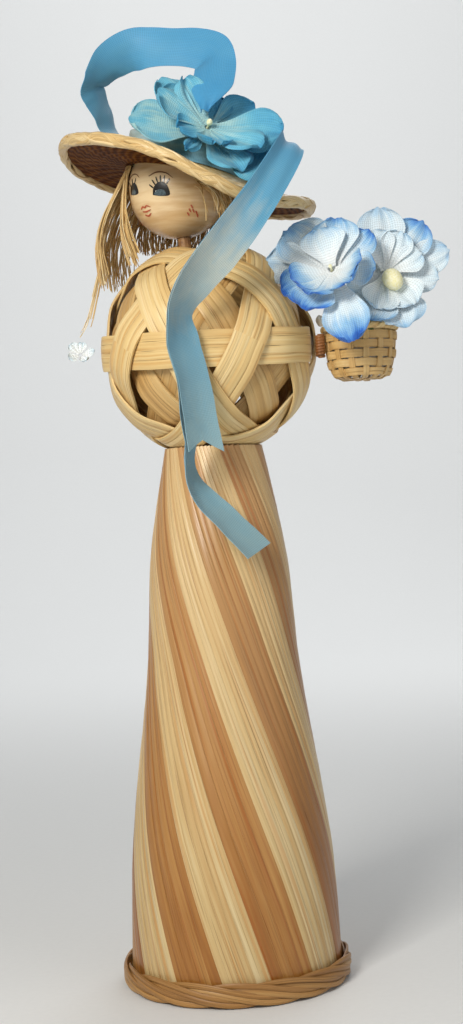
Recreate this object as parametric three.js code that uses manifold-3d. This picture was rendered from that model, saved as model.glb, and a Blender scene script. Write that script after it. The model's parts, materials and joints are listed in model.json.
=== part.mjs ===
// Wicker doll: a hollow skirt of twisted straw slats, a woven cane ball for a torso, a wooden bead for a
// head, a straw hat with ribbon and flower, and a small basket of cloth flowers tied to the ball.
// Millimetres, +Z up. The doll faces -Y, and its left hand side as seen from the front is -X.
import * as THREE from 'three';
import { mergeVertices } from 'three/addons/utils/BufferGeometryUtils.js';
import Module from 'manifold-3d';

// Placing: the skirt's axis stands here, so that the whole doll is centred on the origin.
const STAND_X = -12.41;
const STAND_Y = 1.7;

// Clearances
const GLUE_GAP = 0.3;
const WEAVE_GAP = 0.35;
const CLOTH_GAP = 0.5;

// Skirt: slats that run round and down
const SKIRT_HEIGHT = 158.5;
const SKIRT_BASE_RADIUS = 31.5;
const SKIRT_SWELL_RADIUS = 29.7;
const SKIRT_SWELL_HEIGHT = 40;
const SKIRT_WAIST_RADIUS = 22.9;
const SKIRT_WAIST_HEIGHT = 92;
const SKIRT_SHOULDER_RADIUS = 20.4;
const SKIRT_SHOULDER_HEIGHT = 126;
const SKIRT_TOP_RADIUS = 14.6;
const SLAT_COUNT = 14;
const SLAT_THICKNESS = 0.7;
const SLAT_GAP = 0.3;
const SLAT_SLOPE = 0.31;
const SLAT_TURN = -56;
const SLAT_LEVELS = 13;
const SLAT_FACETS = 2;

// Skirt base: an inner hoop and two strands twisted round the outside
const HOOP_WALL = 2.6;
const HOOP_HEIGHT = 6;
const RIM_STRAND_HEIGHT = 3.3;
const RIM_STRAND_THICKNESS = 0.9;
const RIM_TURNS = 8;
const RIM_STEPS_PER_TURN = 6;
const RIM_LIFT = 0.3;
const RIM_SLACK = 0.1;
const RIM_SIDES = 6;

// Plug in the skirt's neck, and the peg that carries the head
const PLUG_HEIGHT = 12;
const PLUG_DEPTH = 2.5;
const PEG_RADIUS = 2;
const PEG_LEAN = 4.3;
const PEG_SIDES = 12;

// Woven ball: an outer and an inner layer of six hoops each
const BALL_RADIUS = 32.3;
const BAND_WIDTH = 8.8;
const BAND_THICKNESS = 0.8;
const BALL_SPIN = 128;
const BALL_NOD = 5;
const PLATEAU_MARGIN = 0.6;

// Head
const HEAD_RADIUS = 15;
const HEAD_LIFT = 1;
const HEAD_BORE_DEPTH = 18;
const HEAD_SEGMENTS = 22;
const HEAD_RINGS = 12;

// Hat: its own frame has the brim's underside at zero height and the crown's axis up
const HAT_TILT = 15.4;
const HAT_SEAT = 3;
const HAT_SHIFT = 2.1;
const BRIM_RADIUS = 39.7;
const BRIM_THICKNESS = 1.6;
const BRIM_FRONT_DROOP = 8;
const BRIM_BACK_DROOP = 3;
const BRIM_DROOP_TURN = -60;
const HAT_RIM_RADIUS = 1.7;
const CROWN_RADIUS = 18.5;
const CROWN_HEIGHT = 21;
const CROWN_WALL = 1.2;
const HAT_SEGMENTS = 36;

// Hair: straw fibres on pads that are glued round the head under the hat
// Turns are round the head, in degrees; flare and drop say how far the tips stand out and hang.
const HAIR_PAD_GAP = 0.4;
const HAIR_PAD_WALL = 1.6;
const HAIR_PAD_DROP = 1.5;
const HAIR_PAD_STEP = 14;
const HAIR_STRAND_RADIUS = 0.42;
const HAIR_LAYER = 0.5;
const HAIR_CAP_HEIGHT = 14.5;
const HAIR_CAP_TOP_RADIUS = 13;
const LEFT_LOCK = {
  fromTurn: 128, toTurn: 196, tipFrom: 146, tipTo: 182,
  count: 16, flare: 7.5, drop: 26, spread: 4,
};
const BACK_LOCK = {
  fromTurn: 16, toTurn: 124, tipFrom: 16, tipTo: 138,
  count: 18, flare: 8, drop: 16.5, spread: 3,
};
const RIGHT_LOCK = {
  fromTurn: -62, toTurn: 12, tipFrom: -50, tipTo: 8,
  count: 12, flare: 3.5, drop: 12, spread: 2,
};

// A little cloth blossom on the end of one long fibre, placed from the head's middle
const TUFT_RADIUS = 4.4;
const TUFT_CUP = 1.5;
const TUFT_TIP = 60;
const TUFT_PLACE = [-32.5, 10.5, -47.3];
const THREAD_PATH = [[-15.2, 7, 4.5], [-24.5, 9, -20], [-30, 10.5, -38]];
const THREAD_GAP = 1.1;

// Ribbon
const RIBBON_WIDTH = 12.5;
const RIBBON_THICKNESS = 0.4;
const RIBBON_BAND_HEIGHT = 8.5;
const RIBBON_LOOP_STEPS = 44;
const TAIL_STANDOFF = 2.4;
const TAIL_LAYER_GAP = 1.1;
const TAIL_TURN = 12;
const TAIL_SHORT_STEPS = 48;
const TAIL_LONG_STEPS = 64;
const TAIL_END_CUT = 1.5;
// Stations of the band: a place and the direction across the band. The loop's places are from the brim's
// middle, the tails' from the ball's middle, and how far a tail's lie behind its standing-off front.
const LOOP_PATH = [
  [8, -10.5, 26.5, 0.97, -0.1, 0.1],
  [8.6, -8.5, 33, 0.95, -0.15, 0.25],
  [7.5, -5.5, 38.2, 0.6, -0.35, 0.7],
  [2.5, -2, 40, 0.1, -0.35, 0.93],
  [-5, 0, 40.2, -0.05, -0.25, 0.97],
  [-13, 1.2, 40.2, -0.12, -0.25, 0.95],
  [-19.5, 2.2, 38, -0.35, -0.3, 0.85],
  [-23.6, 3.6, 34, -0.6, -0.25, 0.7],
  [-25.6, 5.5, 29.8, -0.8, -0.1, 0.3],
  [-25, 8, 25.6, -0.85, 0.15, -0.2],
  [-23.4, 10.8, 21.3, -0.75, 0.3, -0.5],
];
const TAIL_PATH = [
  [18.7, 1, 43.2, 0.75, -0.1, -0.65],
  [9.8, -3.5, 32.4, 0.75, 0, -0.65],
  [2, -6, 22.5, 0.72, 0.1, -0.68],
  [-3.5, -5.5, 14, 0.8, 0.1, -0.55],
  [-6.5, -3, 6.5, 0.95, 0.1, -0.25],
  [-6.9, -1, -1.5, 1, 0.05, 0.05],
  [-4.8, 0, -11, 1, 0, 0.2],
  [-3, 0, -20, 1, 0, 0.2],
];
const TAIL_SHORT_END = [
  [-1.2, 0, -29, 1, 0, 0.2],
];
const TAIL_LONG_END = [
  [-4.4, 1.5, -30, 1, 0.1, 0.1],
  [-6.2, 2, -37, 0.35, 0.93, 0],
  [-3, 2.4, -44.5, 0.8, 0.4, 0.35],
  [4.5, 4, -53, 0.75, -0.1, 0.65],
  [11.5, 6, -60.5, 0.72, -0.2, 0.68],
];
// How high the tail's start arches over the brim, at its middle and at its edge
const TAIL_ARCH_START = 4.5;
const TAIL_ARCH_MIDDLE = 8.5;
const TAIL_ARCH_EDGE = 6;

// Cloth flower on the hat
const HAT_FLOWER_RADIUS = 19;
const HAT_FLOWER_CUP = 6;
const HAT_FLOWER_TURN = -80;
const HAT_FLOWER_RISE = 35;
const HAT_FLOWER_SPIN = 20;
const HAT_FLOWER_HEIGHT = 9.3;
const PETAL_COUNT = 5;
const PETAL_ROWS = 3;
const PETAL_THICKNESS = 0.6;
const PETAL_LAYER_GAP = 1.6;
const STEM_RADIUS = 0.9;
const STAMEN_RADIUS = 2.6;
const FLOWER_BACK = 2;
const FLOWER_INNER_SHARE = 0.68;

// Basket on the ball's side
const BASKET_TURN = -8;
const BASKET_RADIUS = 11;
const BASKET_FOOT_RADIUS = 6.5;
const BASKET_HEIGHT = 14;
const BASKET_BOTTOM_DROP = 12;
const BASKET_WALL = 1.1;
const BASKET_RIM_RADIUS = 1.2;
const BASKET_STANDOFF = 0.5;
const BASKET_FILL_DEPTH = 2;
const BASKET_SEGMENTS = 24;
const TIE_RADIUS = 1.5;
const TIE_HEIGHT = 7;
const GLUE_RADIUS = 1.8;

// Bouquet: two cloth flowers whose stems stand in the basket
// Places and facings are in the basket's frame, from the middle of its foot.
// A stem sways through one more point.
const FLOWER_A_RADIUS = 16.5;
const FLOWER_A_CUP = 5.5;
const FLOWER_A_TURN = 10;
const FLOWER_A_PLACE = [-6.2, -12, 30.6];
const FLOWER_A_FACING = [-0.1, -0.9, 0.4];
const FLOWER_A_FOOT = -3;
const FLOWER_A_SWAY = [-4, -0.5, 20];
const FLOWER_B_RADIUS = 16;
const FLOWER_B_CUP = 5;
const FLOWER_B_TURN = 40;
const FLOWER_B_PLACE = [8.2, -0.4, 30.6];
const FLOWER_B_FACING = [0.25, -0.93, 0.2];
const FLOWER_B_FOOT = 3;
const FLOWER_B_SWAY = [4.6, 2.6, 20];
const STEM_SINK = 6;
const STEM_SIDES = 6;
const STEM_STEPS = 10;

const wasm = await Module();
wasm.setup();
const radians = THREE.MathUtils.degToRad;
const UP = new THREE.Vector3(0, 0, 1);

// Finishes

function finish(colour, roughness) {
  return new THREE.MeshStandardMaterial({ color: colour, roughness, metalness: 0 });
}

const paleStraw = finish(0xd9c08c, 0.55);
const tanStraw = finish(0xb5793f, 0.55);
const cane = finish(0xe0bf84, 0.5);
const innerCane = finish(0xc79a5e, 0.6);
const beadWood = finish(0xe8cfa6, 0.4);
const hatStraw = finish(0xe6c98e, 0.6);
const hairStraw = finish(0xd9b878, 0.6);
const blueRibbon = finish(0x5ab0dc, 0.5);
const bluePetal = finish(0x6cc0e8, 0.8);
const whitePetal = finish(0xdfebf6, 0.85);
const creamStamen = finish(0xf3efb5, 0.7);
const stemWire = finish(0x5d7a4a, 0.6);
const clearGlue = finish(0xede6da, 0.25);
const brownTwine = finish(0xa0582a, 0.8);

// Mesh helpers

function meshFrom(positions, triangles) {
  const geometry = new THREE.BufferGeometry();
  geometry.setAttribute('position', new THREE.Float32BufferAttribute(positions, 3));
  geometry.setIndex(triangles);
  return geometry;
}

// Turns a geometry inside out if its faces point inwards.
function outward(geometry) {
  const at = geometry.getAttribute('position');
  const index = Array.from(geometry.getIndex().array);
  const corner = [new THREE.Vector3(), new THREE.Vector3(), new THREE.Vector3()];
  let volume = 0;
  for (let i = 0; i < index.length; i += 3) {
    corner.forEach((p, k) => p.fromBufferAttribute(at, index[i + k]));
    volume += corner[0].dot(corner[1].clone().cross(corner[2]));
  }
  if (volume < 0) {
    index.reverse();
  }
  geometry.setIndex(index);
  return geometry;
}

// Merges a three.js shape into one closed surface of shared points, without its collapsed triangles.
function weld(geometry) {
  const bare = geometry.clone();
  bare.deleteAttribute('normal');
  bare.deleteAttribute('uv');
  const merged = mergeVertices(bare, 1e-3);
  const index = merged.getIndex().array;
  const kept = [];
  for (let i = 0; i < index.length; i += 3) {
    const [a, b, c] = [index[i], index[i + 1], index[i + 2]];
    if (a !== b && b !== c && c !== a) {
      kept.push(a, b, c);
    }
  }
  merged.setIndex(kept);
  return outward(merged);
}

// Joins rings of points into a tube, closed on itself or capped at both ends.
function loft(rings, closed = false) {
  const count = rings[0].length;
  const positions = rings.flat().flatMap((p) => [p.x, p.y, p.z]);
  const triangles = [];
  const spans = closed ? rings.length : rings.length - 1;
  for (let i = 0; i < spans; i += 1) {
    const a = i * count;
    const b = ((i + 1) % rings.length) * count;
    for (let j = 0; j < count; j += 1) {
      const k = (j + 1) % count;
      triangles.push(a + j, b + j, b + k, a + j, b + k, a + k);
    }
  }
  if (!closed) {
    const last = (rings.length - 1) * count;
    capTriangles(0, count).forEach(([a, b, c]) => triangles.push(a, b, c));
    capTriangles(last, count).forEach(([a, b, c]) => triangles.push(a, c, b));
  }
  return outward(meshFrom(positions, triangles));
}

// A zigzag of triangles across a ring, which also suits a long thin one.
function capTriangles(first, count) {
  const found = [];
  let low = 0;
  let high = count - 1;
  while (high - low >= 2) {
    found.push([first + low, first + low + 1, first + high]);
    low += 1;
    if (high - low >= 2) {
      found.push([first + low, first + high - 1, first + high]);
      high -= 1;
    }
  }
  return found;
}

// A solid of revolution about +Z from a closed profile of [radius, height] points.
function turned(profile, segments) {
  const points = profile.map(([r, h]) => new THREE.Vector2(r, h));
  const geometry = new THREE.LatheGeometry([...points, points[0]], segments);
  geometry.rotateX(Math.PI / 2);
  return weld(geometry);
}

// A round rod between two points.
function rod(from, to, radius, sides = PEG_SIDES) {
  const span = to.clone().sub(from);
  const geometry = new THREE.CylinderGeometry(radius, radius, span.length(), sides);
  geometry.rotateX(Math.PI / 2);
  geometry.applyQuaternion(new THREE.Quaternion().setFromUnitVectors(UP, span.clone().normalize()));
  const middle = from.clone().add(to).multiplyScalar(0.5);
  geometry.translate(middle.x, middle.y, middle.z);
  return weld(geometry);
}

function ball(radius, segments, rings) {
  const geometry = new THREE.SphereGeometry(radius, segments, rings);
  geometry.rotateX(Math.PI / 2);
  return weld(geometry);
}

// A round tube along a curve, with a given number of sides and steps.
function tube(points, radius, sides, steps) {
  const curve = new THREE.CatmullRomCurve3(points);
  const rings = [];
  for (let i = 0; i <= steps; i += 1) {
    const along = curve.getTangent(i / steps);
    const side = along.clone().cross(Math.abs(along.z) > 0.9 ? new THREE.Vector3(0, 1, 0) : UP).normalize();
    const over = side.clone().cross(along);
    const centre = curve.getPoint(i / steps);
    rings.push(circlePoints(centre, side, over, radius, radius, sides));
  }
  return loft(rings);
}

function circlePoints(centre, u, v, ru, rv, sides) {
  const found = [];
  for (let j = 0; j < sides; j += 1) {
    const a = (j / sides) * 2 * Math.PI;
    found.push(centre.clone().addScaledVector(u, ru * Math.cos(a)).addScaledVector(v, rv * Math.sin(a)));
  }
  return found;
}

function toSolid(geometry) {
  const at = geometry.getAttribute('position').array;
  const index = geometry.getIndex().array;
  const mesh = new wasm.Mesh({
    numProp: 3,
    vertProperties: Float32Array.from(at),
    triVerts: Uint32Array.from(index),
  });
  return new wasm.Manifold(mesh);
}

function fromSolid(solid) {
  const mesh = solid.getMesh();
  return meshFrom(Array.from(mesh.vertProperties), Array.from(mesh.triVerts));
}

function cut(body, tool) {
  return fromSolid(toSolid(body).subtract(toSolid(tool)));
}

function join(bodies) {
  return fromSolid(bodies.map(toSolid).reduce((a, b) => a.add(b)));
}

const doll = new THREE.Group();
doll.position.set(STAND_X, STAND_Y, 0);

function piece(name, geometry, material, parent = doll) {
  const mesh = new THREE.Mesh(geometry, material);
  mesh.name = name;
  parent.add(mesh);
  return mesh;
}

// Skirt

const skirtCurve = new THREE.SplineCurve([
  new THREE.Vector2(SKIRT_BASE_RADIUS, 0),
  new THREE.Vector2(SKIRT_SWELL_RADIUS, SKIRT_SWELL_HEIGHT),
  new THREE.Vector2(SKIRT_WAIST_RADIUS, SKIRT_WAIST_HEIGHT),
  new THREE.Vector2(SKIRT_SHOULDER_RADIUS, SKIRT_SHOULDER_HEIGHT),
  new THREE.Vector2(SKIRT_TOP_RADIUS, SKIRT_HEIGHT),
]);
const skirtLevels = skirtCurve.getPoints(SLAT_LEVELS * 4);
const slatHalfAngle = Math.PI / (SLAT_COUNT * SLAT_FACETS);

// Outer radius of the skirt at a height.
function skirtRadius(height) {
  const above = skirtLevels.findIndex((p) => p.y >= height);
  const upper = skirtLevels[above < 0 ? skirtLevels.length - 1 : Math.max(above, 1)];
  const lower = skirtLevels[(above < 0 ? skirtLevels.length - 1 : Math.max(above, 1)) - 1];
  return THREE.MathUtils.mapLinear(height, lower.y, upper.y, lower.x, upper.x);
}

// What fits inside the slats' flat facets at a height.
function skirtInside(height) {
  return (skirtRadius(height) - SLAT_THICKNESS) * Math.cos(slatHalfAngle) - GLUE_GAP;
}

// Heights of the slats' rings, each with the angle that a slat has turned through on its way down to it.
function slatRings() {
  const rings = [];
  let turn = 0;
  for (let i = 0; i <= SLAT_LEVELS; i += 1) {
    const height = SKIRT_HEIGHT * (1 - i / SLAT_LEVELS);
    const radius = skirtRadius(height);
    turn += i === 0 ? 0 : (SLAT_SLOPE * SKIRT_HEIGHT) / SLAT_LEVELS / radius;
    rings.push({ height, radius, turn });
  }
  return rings;
}

function slatSection(ring, start, width) {
  const margin = SLAT_GAP / 2 / ring.radius;
  const outer = [];
  const inner = [];
  for (let j = 0; j <= SLAT_FACETS; j += 1) {
    const angle = start + ring.turn + margin + ((width - 2 * margin) * j) / SLAT_FACETS;
    const [c, s] = [Math.cos(angle), Math.sin(angle)];
    const thin = ring.radius - SLAT_THICKNESS;
    outer.push(new THREE.Vector3(ring.radius * c, ring.radius * s, ring.height));
    inner.unshift(new THREE.Vector3(thin * c, thin * s, ring.height));
  }
  return [...outer, ...inner];
}

function addSlats() {
  const rings = slatRings();
  const width = (2 * Math.PI) / SLAT_COUNT;
  const first = radians(-90 + SLAT_TURN) - rings[rings.length - 1].turn;
  for (let k = 0; k < SLAT_COUNT; k += 1) {
    const start = first + k * width;
    const sections = rings.map((ring) => slatSection(ring, start, width));
    const label = String(k + 1).padStart(2, '0');
    piece(`skirt_slat_${label}`, loft(sections), k % 2 === 0 ? paleStraw : tanStraw);
  }
}

function addBase() {
  const outer = Math.min(skirtInside(0), skirtInside(HOOP_HEIGHT));
  const inner = outer - HOOP_WALL;
  const profile = [[inner, 0], [outer, 0], [outer, HOOP_HEIGHT], [inner, HOOP_HEIGHT]];
  piece('base_hoop', turned(profile, 2 * SLAT_COUNT), cane);

  const sway = (RIM_STRAND_HEIGHT + GLUE_GAP) / 2 + RIM_SLACK;
  const depth = (RIM_STRAND_THICKNESS + GLUE_GAP) / 2 + RIM_SLACK;
  const middle = RIM_LIFT + sway + RIM_STRAND_HEIGHT / 2;
  const reach = Math.max(skirtRadius(0), skirtRadius(2 * middle)) + GLUE_GAP;
  const radius = reach + depth + RIM_STRAND_THICKNESS / 2;
  const steps = RIM_TURNS * RIM_STEPS_PER_TURN;
  ['a', 'b'].forEach((label, strand) => {
    const rings = [];
    for (let i = 0; i < steps; i += 1) {
      const angle = (i / steps) * 2 * Math.PI;
      const twist = RIM_TURNS * angle + strand * Math.PI;
      const out = new THREE.Vector3(Math.cos(angle), Math.sin(angle), 0);
      const centre = out.clone().multiplyScalar(radius + depth * Math.sin(twist));
      centre.z = middle + sway * Math.cos(twist);
      rings.push(circlePoints(centre, out, UP, RIM_STRAND_THICKNESS / 2, RIM_STRAND_HEIGHT / 2, RIM_SIDES));
    }
    piece(`base_rim_strand_${label}`, loft(rings, true), strand === 0 ? cane : tanStraw);
  });
}

// Ball and neck places

const ballReach = Math.hypot(BALL_RADIUS, BAND_WIDTH / 2);
const ballHeight = SKIRT_HEIGHT + GLUE_GAP + Math.sqrt(ballReach ** 2 - SKIRT_TOP_RADIUS ** 2);
const ballCentre = new THREE.Vector3(0, 0, ballHeight);
const pegAlong = new THREE.Vector3(-Math.sin(radians(PEG_LEAN)), 0, Math.cos(radians(PEG_LEAN)));
const plugTop = SKIRT_HEIGHT - PLUG_DEPTH;
const pegFoot = new THREE.Vector3(0, 0, plugTop - PLUG_HEIGHT);
const headHeight = ballHeight + ballReach + HEAD_LIFT + HEAD_RADIUS;
const headCentre = pegFoot.clone().addScaledVector(pegAlong, (headHeight - pegFoot.z) / pegAlong.z);

function addPlugAndPeg() {
  const profile = [
    [0, pegFoot.z],
    [skirtInside(pegFoot.z), pegFoot.z],
    [skirtInside(plugTop), plugTop],
    [0, plugTop],
  ];
  const bore = rod(
    pegFoot.clone().addScaledVector(pegAlong, -PLUG_HEIGHT),
    pegFoot.clone().addScaledVector(pegAlong, 2 * PLUG_HEIGHT),
    PEG_RADIUS + GLUE_GAP,
  );
  piece('skirt_plug', cut(turned(profile, 2 * SLAT_COUNT), bore), cane);
  const top = headCentre.clone().addScaledVector(pegAlong, HEAD_BORE_DEPTH - HEAD_RADIUS - GLUE_GAP);
  piece('neck_peg', rod(pegFoot, top, PEG_RADIUS), beadWood);
}

// Woven ball: six great circles, square to the six axes of an icosahedron, over and under in turn.

// Angle between any two of the six axes, which is also the angle at which the hoops cross.
const AXIS_ANGLE = Math.atan(2);

function hoopAxes(spin) {
  const axes = [UP.clone()];
  for (let k = 0; k < 5; k += 1) {
    const turn = radians(spin + 72 * k);
    axes.push(new THREE.Vector3(
      Math.sin(AXIS_ANGLE) * Math.cos(turn),
      Math.sin(AXIS_ANGLE) * Math.sin(turn),
      Math.cos(AXIS_ANGLE),
    ));
  }
  return axes.map((axis) => axis.applyAxisAngle(new THREE.Vector3(1, 0, 0), radians(BALL_NOD)));
}

// Whether hoop i passes over hoop j where they cross at p: regions are coloured like a chequerboard.
function passesOver(axes, i, j, p) {
  const along = axes[i].clone().cross(p);
  const across = axes[j].clone().cross(p);
  const corner = p.clone().addScaledVector(along, 0.01).addScaledVector(across, 0.01);
  const even = axes.filter((axis) => axis.dot(corner) > 0).length % 2 === 0;
  const leftTurn = along.clone().cross(across).dot(p) > 0;
  return even === leftTurn;
}

function hoopCrossings(axes, i, u, v) {
  const found = [];
  axes.forEach((axis, j) => {
    if (j === i) {
      return;
    }
    [1, -1].forEach((sign) => {
      const p = axes[i].clone().cross(axis).normalize().multiplyScalar(sign);
      found.push({ angle: Math.atan2(p.dot(v), p.dot(u)), over: passesOver(axes, i, j, p) });
    });
  });
  return found.sort((a, b) => a.angle - b.angle);
}

function hoop(axes, i, overRadius, underRadius) {
  const axis = axes[i];
  const u = axis.clone().cross(Math.abs(axis.z) > 0.9 ? new THREE.Vector3(0, 1, 0) : UP).normalize();
  const v = axis.clone().cross(u);
  const flat = (BAND_WIDTH / 2 + PLATEAU_MARGIN) / Math.tan(AXIS_ANGLE / 2) / underRadius;
  const rings = [];
  hoopCrossings(axes, i, u, v).forEach(({ angle, over }) => {
    const radius = over ? overRadius : underRadius;
    [-1, -1 / 3, 1 / 3, 1].forEach((share) => {
      const a = angle + share * flat;
      const out = u.clone().multiplyScalar(Math.cos(a)).addScaledVector(v, Math.sin(a));
      rings.push(bandSection(out, axis, radius));
    });
  });
  return loft(rings, true);
}

function bandSection(out, axis, radius) {
  const inner = out.clone().multiplyScalar(radius - BAND_THICKNESS / 2);
  const outer = out.clone().multiplyScalar(radius + BAND_THICKNESS / 2);
  const half = BAND_WIDTH / 2;
  return [
    outer.clone().addScaledVector(axis, half),
    outer.clone().addScaledVector(axis, -half),
    inner.clone().addScaledVector(axis, -half),
    inner.clone().addScaledVector(axis, half),
  ];
}

function addBall() {
  const group = new THREE.Group();
  group.position.copy(ballCentre);
  doll.add(group);
  const edgeRise = ballReach - BALL_RADIUS;
  const drop = BAND_THICKNESS + WEAVE_GAP + edgeRise;
  const over = BALL_RADIUS - BAND_THICKNESS / 2;
  const layers = [
    { label: 'outer', spin: BALL_SPIN, over, material: cane },
    { label: 'inner', spin: BALL_SPIN + 36, over: over - 2 * drop, material: innerCane },
  ];
  layers.forEach((layer) => {
    const axes = hoopAxes(layer.spin);
    axes.forEach((axis, i) => {
      const geometry = hoop(axes, i, layer.over, layer.over - drop);
      piece(`ball_${layer.label}_hoop_${i + 1}`, geometry, layer.material, group);
    });
  });
}

// Head

function addHead() {
  const bead = ball(HEAD_RADIUS, HEAD_SEGMENTS, HEAD_RINGS);
  const low = pegAlong.clone().multiplyScalar(-2 * HEAD_RADIUS);
  const end = pegAlong.clone().multiplyScalar(HEAD_BORE_DEPTH - HEAD_RADIUS);
  const drilled = cut(bead, rod(low, end, PEG_RADIUS + GLUE_GAP));
  piece('head_bead', drilled, beadWood).position.copy(headCentre);
}

// Hat

const hatGroup = new THREE.Group();
hatGroup.position.copy(headCentre);
hatGroup.rotation.y = radians(HAT_TILT);
doll.add(hatGroup);
const brimGroup = new THREE.Group();
brimGroup.position.set(HAT_SHIFT, 0, HAT_SEAT);
hatGroup.add(brimGroup);
hatGroup.updateMatrix();
brimGroup.updateMatrix();
const hatFrame = hatGroup.matrix.clone().multiply(brimGroup.matrix);
const brimEdge = BRIM_RADIUS - 2 * HAT_RIM_RADIUS - GLUE_GAP;

// How far the brim hangs down at a point of the hat's own frame.
function brimDroop(x, y) {
  const out = Math.max(0, (Math.hypot(x, y) - CROWN_RADIUS) / (BRIM_RADIUS - CROWN_RADIUS));
  const lean = Math.cos(Math.atan2(y, x) - radians(BRIM_DROOP_TURN));
  const front = BRIM_FRONT_DROOP * Math.max(0, lean) ** 4;
  const back = BRIM_BACK_DROOP * Math.max(0, -lean) ** 2;
  return (front + back) * out ** 1.5;
}

function drooped(geometry) {
  const at = geometry.getAttribute('position');
  for (let i = 0; i < at.count; i += 1) {
    at.setZ(i, at.getZ(i) - brimDroop(at.getX(i), at.getY(i)));
  }
  return geometry;
}

// A point over the hat's brim or crown, in the doll's frame.
function hatAt(x, y, height) {
  return new THREE.Vector3(x, y, height - brimDroop(x, y)).applyMatrix4(hatFrame);
}

// The same by radius and turn round the hat's axis.
function hatPoint(radius, turn, height) {
  return hatAt(radius * Math.cos(radians(turn)), radius * Math.sin(radians(turn)), height);
}

function addHat() {
  const inside = CROWN_RADIUS - CROWN_WALL;
  const shoulder = 0.45 * CROWN_HEIGHT;
  const middle = (CROWN_RADIUS + brimEdge) / 2;
  const dome = (radius, top) => [
    [radius, shoulder],
    [0.86 * radius, shoulder + 0.62 * (top - shoulder)],
    [0.5 * radius, shoulder + 0.93 * (top - shoulder)],
    [0, top],
  ];
  const profile = [
    ...dome(CROWN_RADIUS, CROWN_HEIGHT).reverse(),
    [CROWN_RADIUS, BRIM_THICKNESS],
    [middle, BRIM_THICKNESS],
    [brimEdge, BRIM_THICKNESS],
    [brimEdge, 0],
    [middle, 0],
    [inside, 0],
    ...dome(inside, CROWN_HEIGHT - CROWN_WALL),
  ];
  piece('hat_body', drooped(turned(profile, HAT_SEGMENTS)), hatStraw, brimGroup);

  const rings = [];
  for (let i = 0; i < HAT_SEGMENTS; i += 1) {
    const angle = (i / HAT_SEGMENTS) * 2 * Math.PI;
    const out = new THREE.Vector3(Math.cos(angle), Math.sin(angle), 0);
    const centre = out.clone().multiplyScalar(BRIM_RADIUS - HAT_RIM_RADIUS);
    centre.z = BRIM_THICKNESS / 2 - brimDroop(centre.x, centre.y);
    rings.push(circlePoints(centre, out, UP, HAT_RIM_RADIUS, HAT_RIM_RADIUS, RIM_SIDES));
  }
  piece('hat_rim', loft(rings, true), hatStraw, brimGroup);

  const bandInner = CROWN_RADIUS + GLUE_GAP;
  const bandOuter = bandInner + RIBBON_THICKNESS;
  const low = BRIM_THICKNESS + GLUE_GAP;
  const band = [[bandInner, low], [bandOuter, low], [bandOuter, low + RIBBON_BAND_HEIGHT]];
  band.push([bandInner, low + RIBBON_BAND_HEIGHT]);
  piece('ribbon_band', turned(band, HAT_SEGMENTS), blueRibbon, brimGroup);
}

// Hair

// A block round part of the head, which the fibres grow from, in the frame of the tilted hat.
function hairPad(fromTurn, toTurn) {
  const inner = HEAD_RADIUS + HAIR_PAD_GAP;
  const outer = inner + HAIR_PAD_WALL;
  const top = HAT_SEAT - GLUE_GAP;
  const steps = Math.ceil((toTurn - fromTurn) / HAIR_PAD_STEP);
  const tilt = new THREE.Matrix4().makeRotationY(radians(HAT_TILT));
  const rings = [];
  for (let i = 0; i <= steps; i += 1) {
    const turn = radians(fromTurn + ((toTurn - fromTurn) * i) / steps);
    const [c, s] = [Math.cos(turn), Math.sin(turn)];
    const corners = [[inner, -HAIR_PAD_DROP], [outer, -HAIR_PAD_DROP], [outer, top], [inner, top]];
    rings.push(corners.map(([r, h]) => new THREE.Vector3(r * c, r * s, h).applyMatrix4(tilt)));
  }
  return loft(rings);
}

// One lock: a pad and fibres that hang from it in order, so that none cross.
function hairLock(lock) {
  const tilt = new THREE.Matrix4().makeRotationY(radians(HAT_TILT));
  const root = HEAD_RADIUS + HAIR_PAD_GAP + HAIR_PAD_WALL / 2;
  const bodies = [hairPad(lock.fromTurn, lock.toTurn)];
  for (let i = 0; i < lock.count; i += 1) {
    const share = (i + 0.5) / lock.count;
    const layer = i % 2 === 0 ? -HAIR_LAYER : HAIR_LAYER;
    const rootTurn = radians(THREE.MathUtils.lerp(lock.fromTurn + 3, lock.toTurn - 3, share));
    const tipTurn = radians(THREE.MathUtils.lerp(lock.tipFrom, lock.tipTo, share));
    const drop = lock.drop + lock.spread * Math.sin(5.3 * i + 1);
    const midTurn = (rootTurn + tipTurn) / 2;
    const start = new THREE.Vector3(root * Math.cos(rootTurn), root * Math.sin(rootTurn), HAIR_PAD_DROP);
    start.applyMatrix4(tilt);
    const bend = root + lock.flare * 0.6 + layer;
    const tip = root + lock.flare + 2 * layer;
    const points = [
      start,
      new THREE.Vector3(bend * Math.cos(midTurn), bend * Math.sin(midTurn), -0.42 * drop),
      new THREE.Vector3(tip * Math.cos(tipTurn), tip * Math.sin(tipTurn), -drop),
    ];
    bodies.push(tube(points, HAIR_STRAND_RADIUS, 3, 4));
  }
  return bodies;
}

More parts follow.
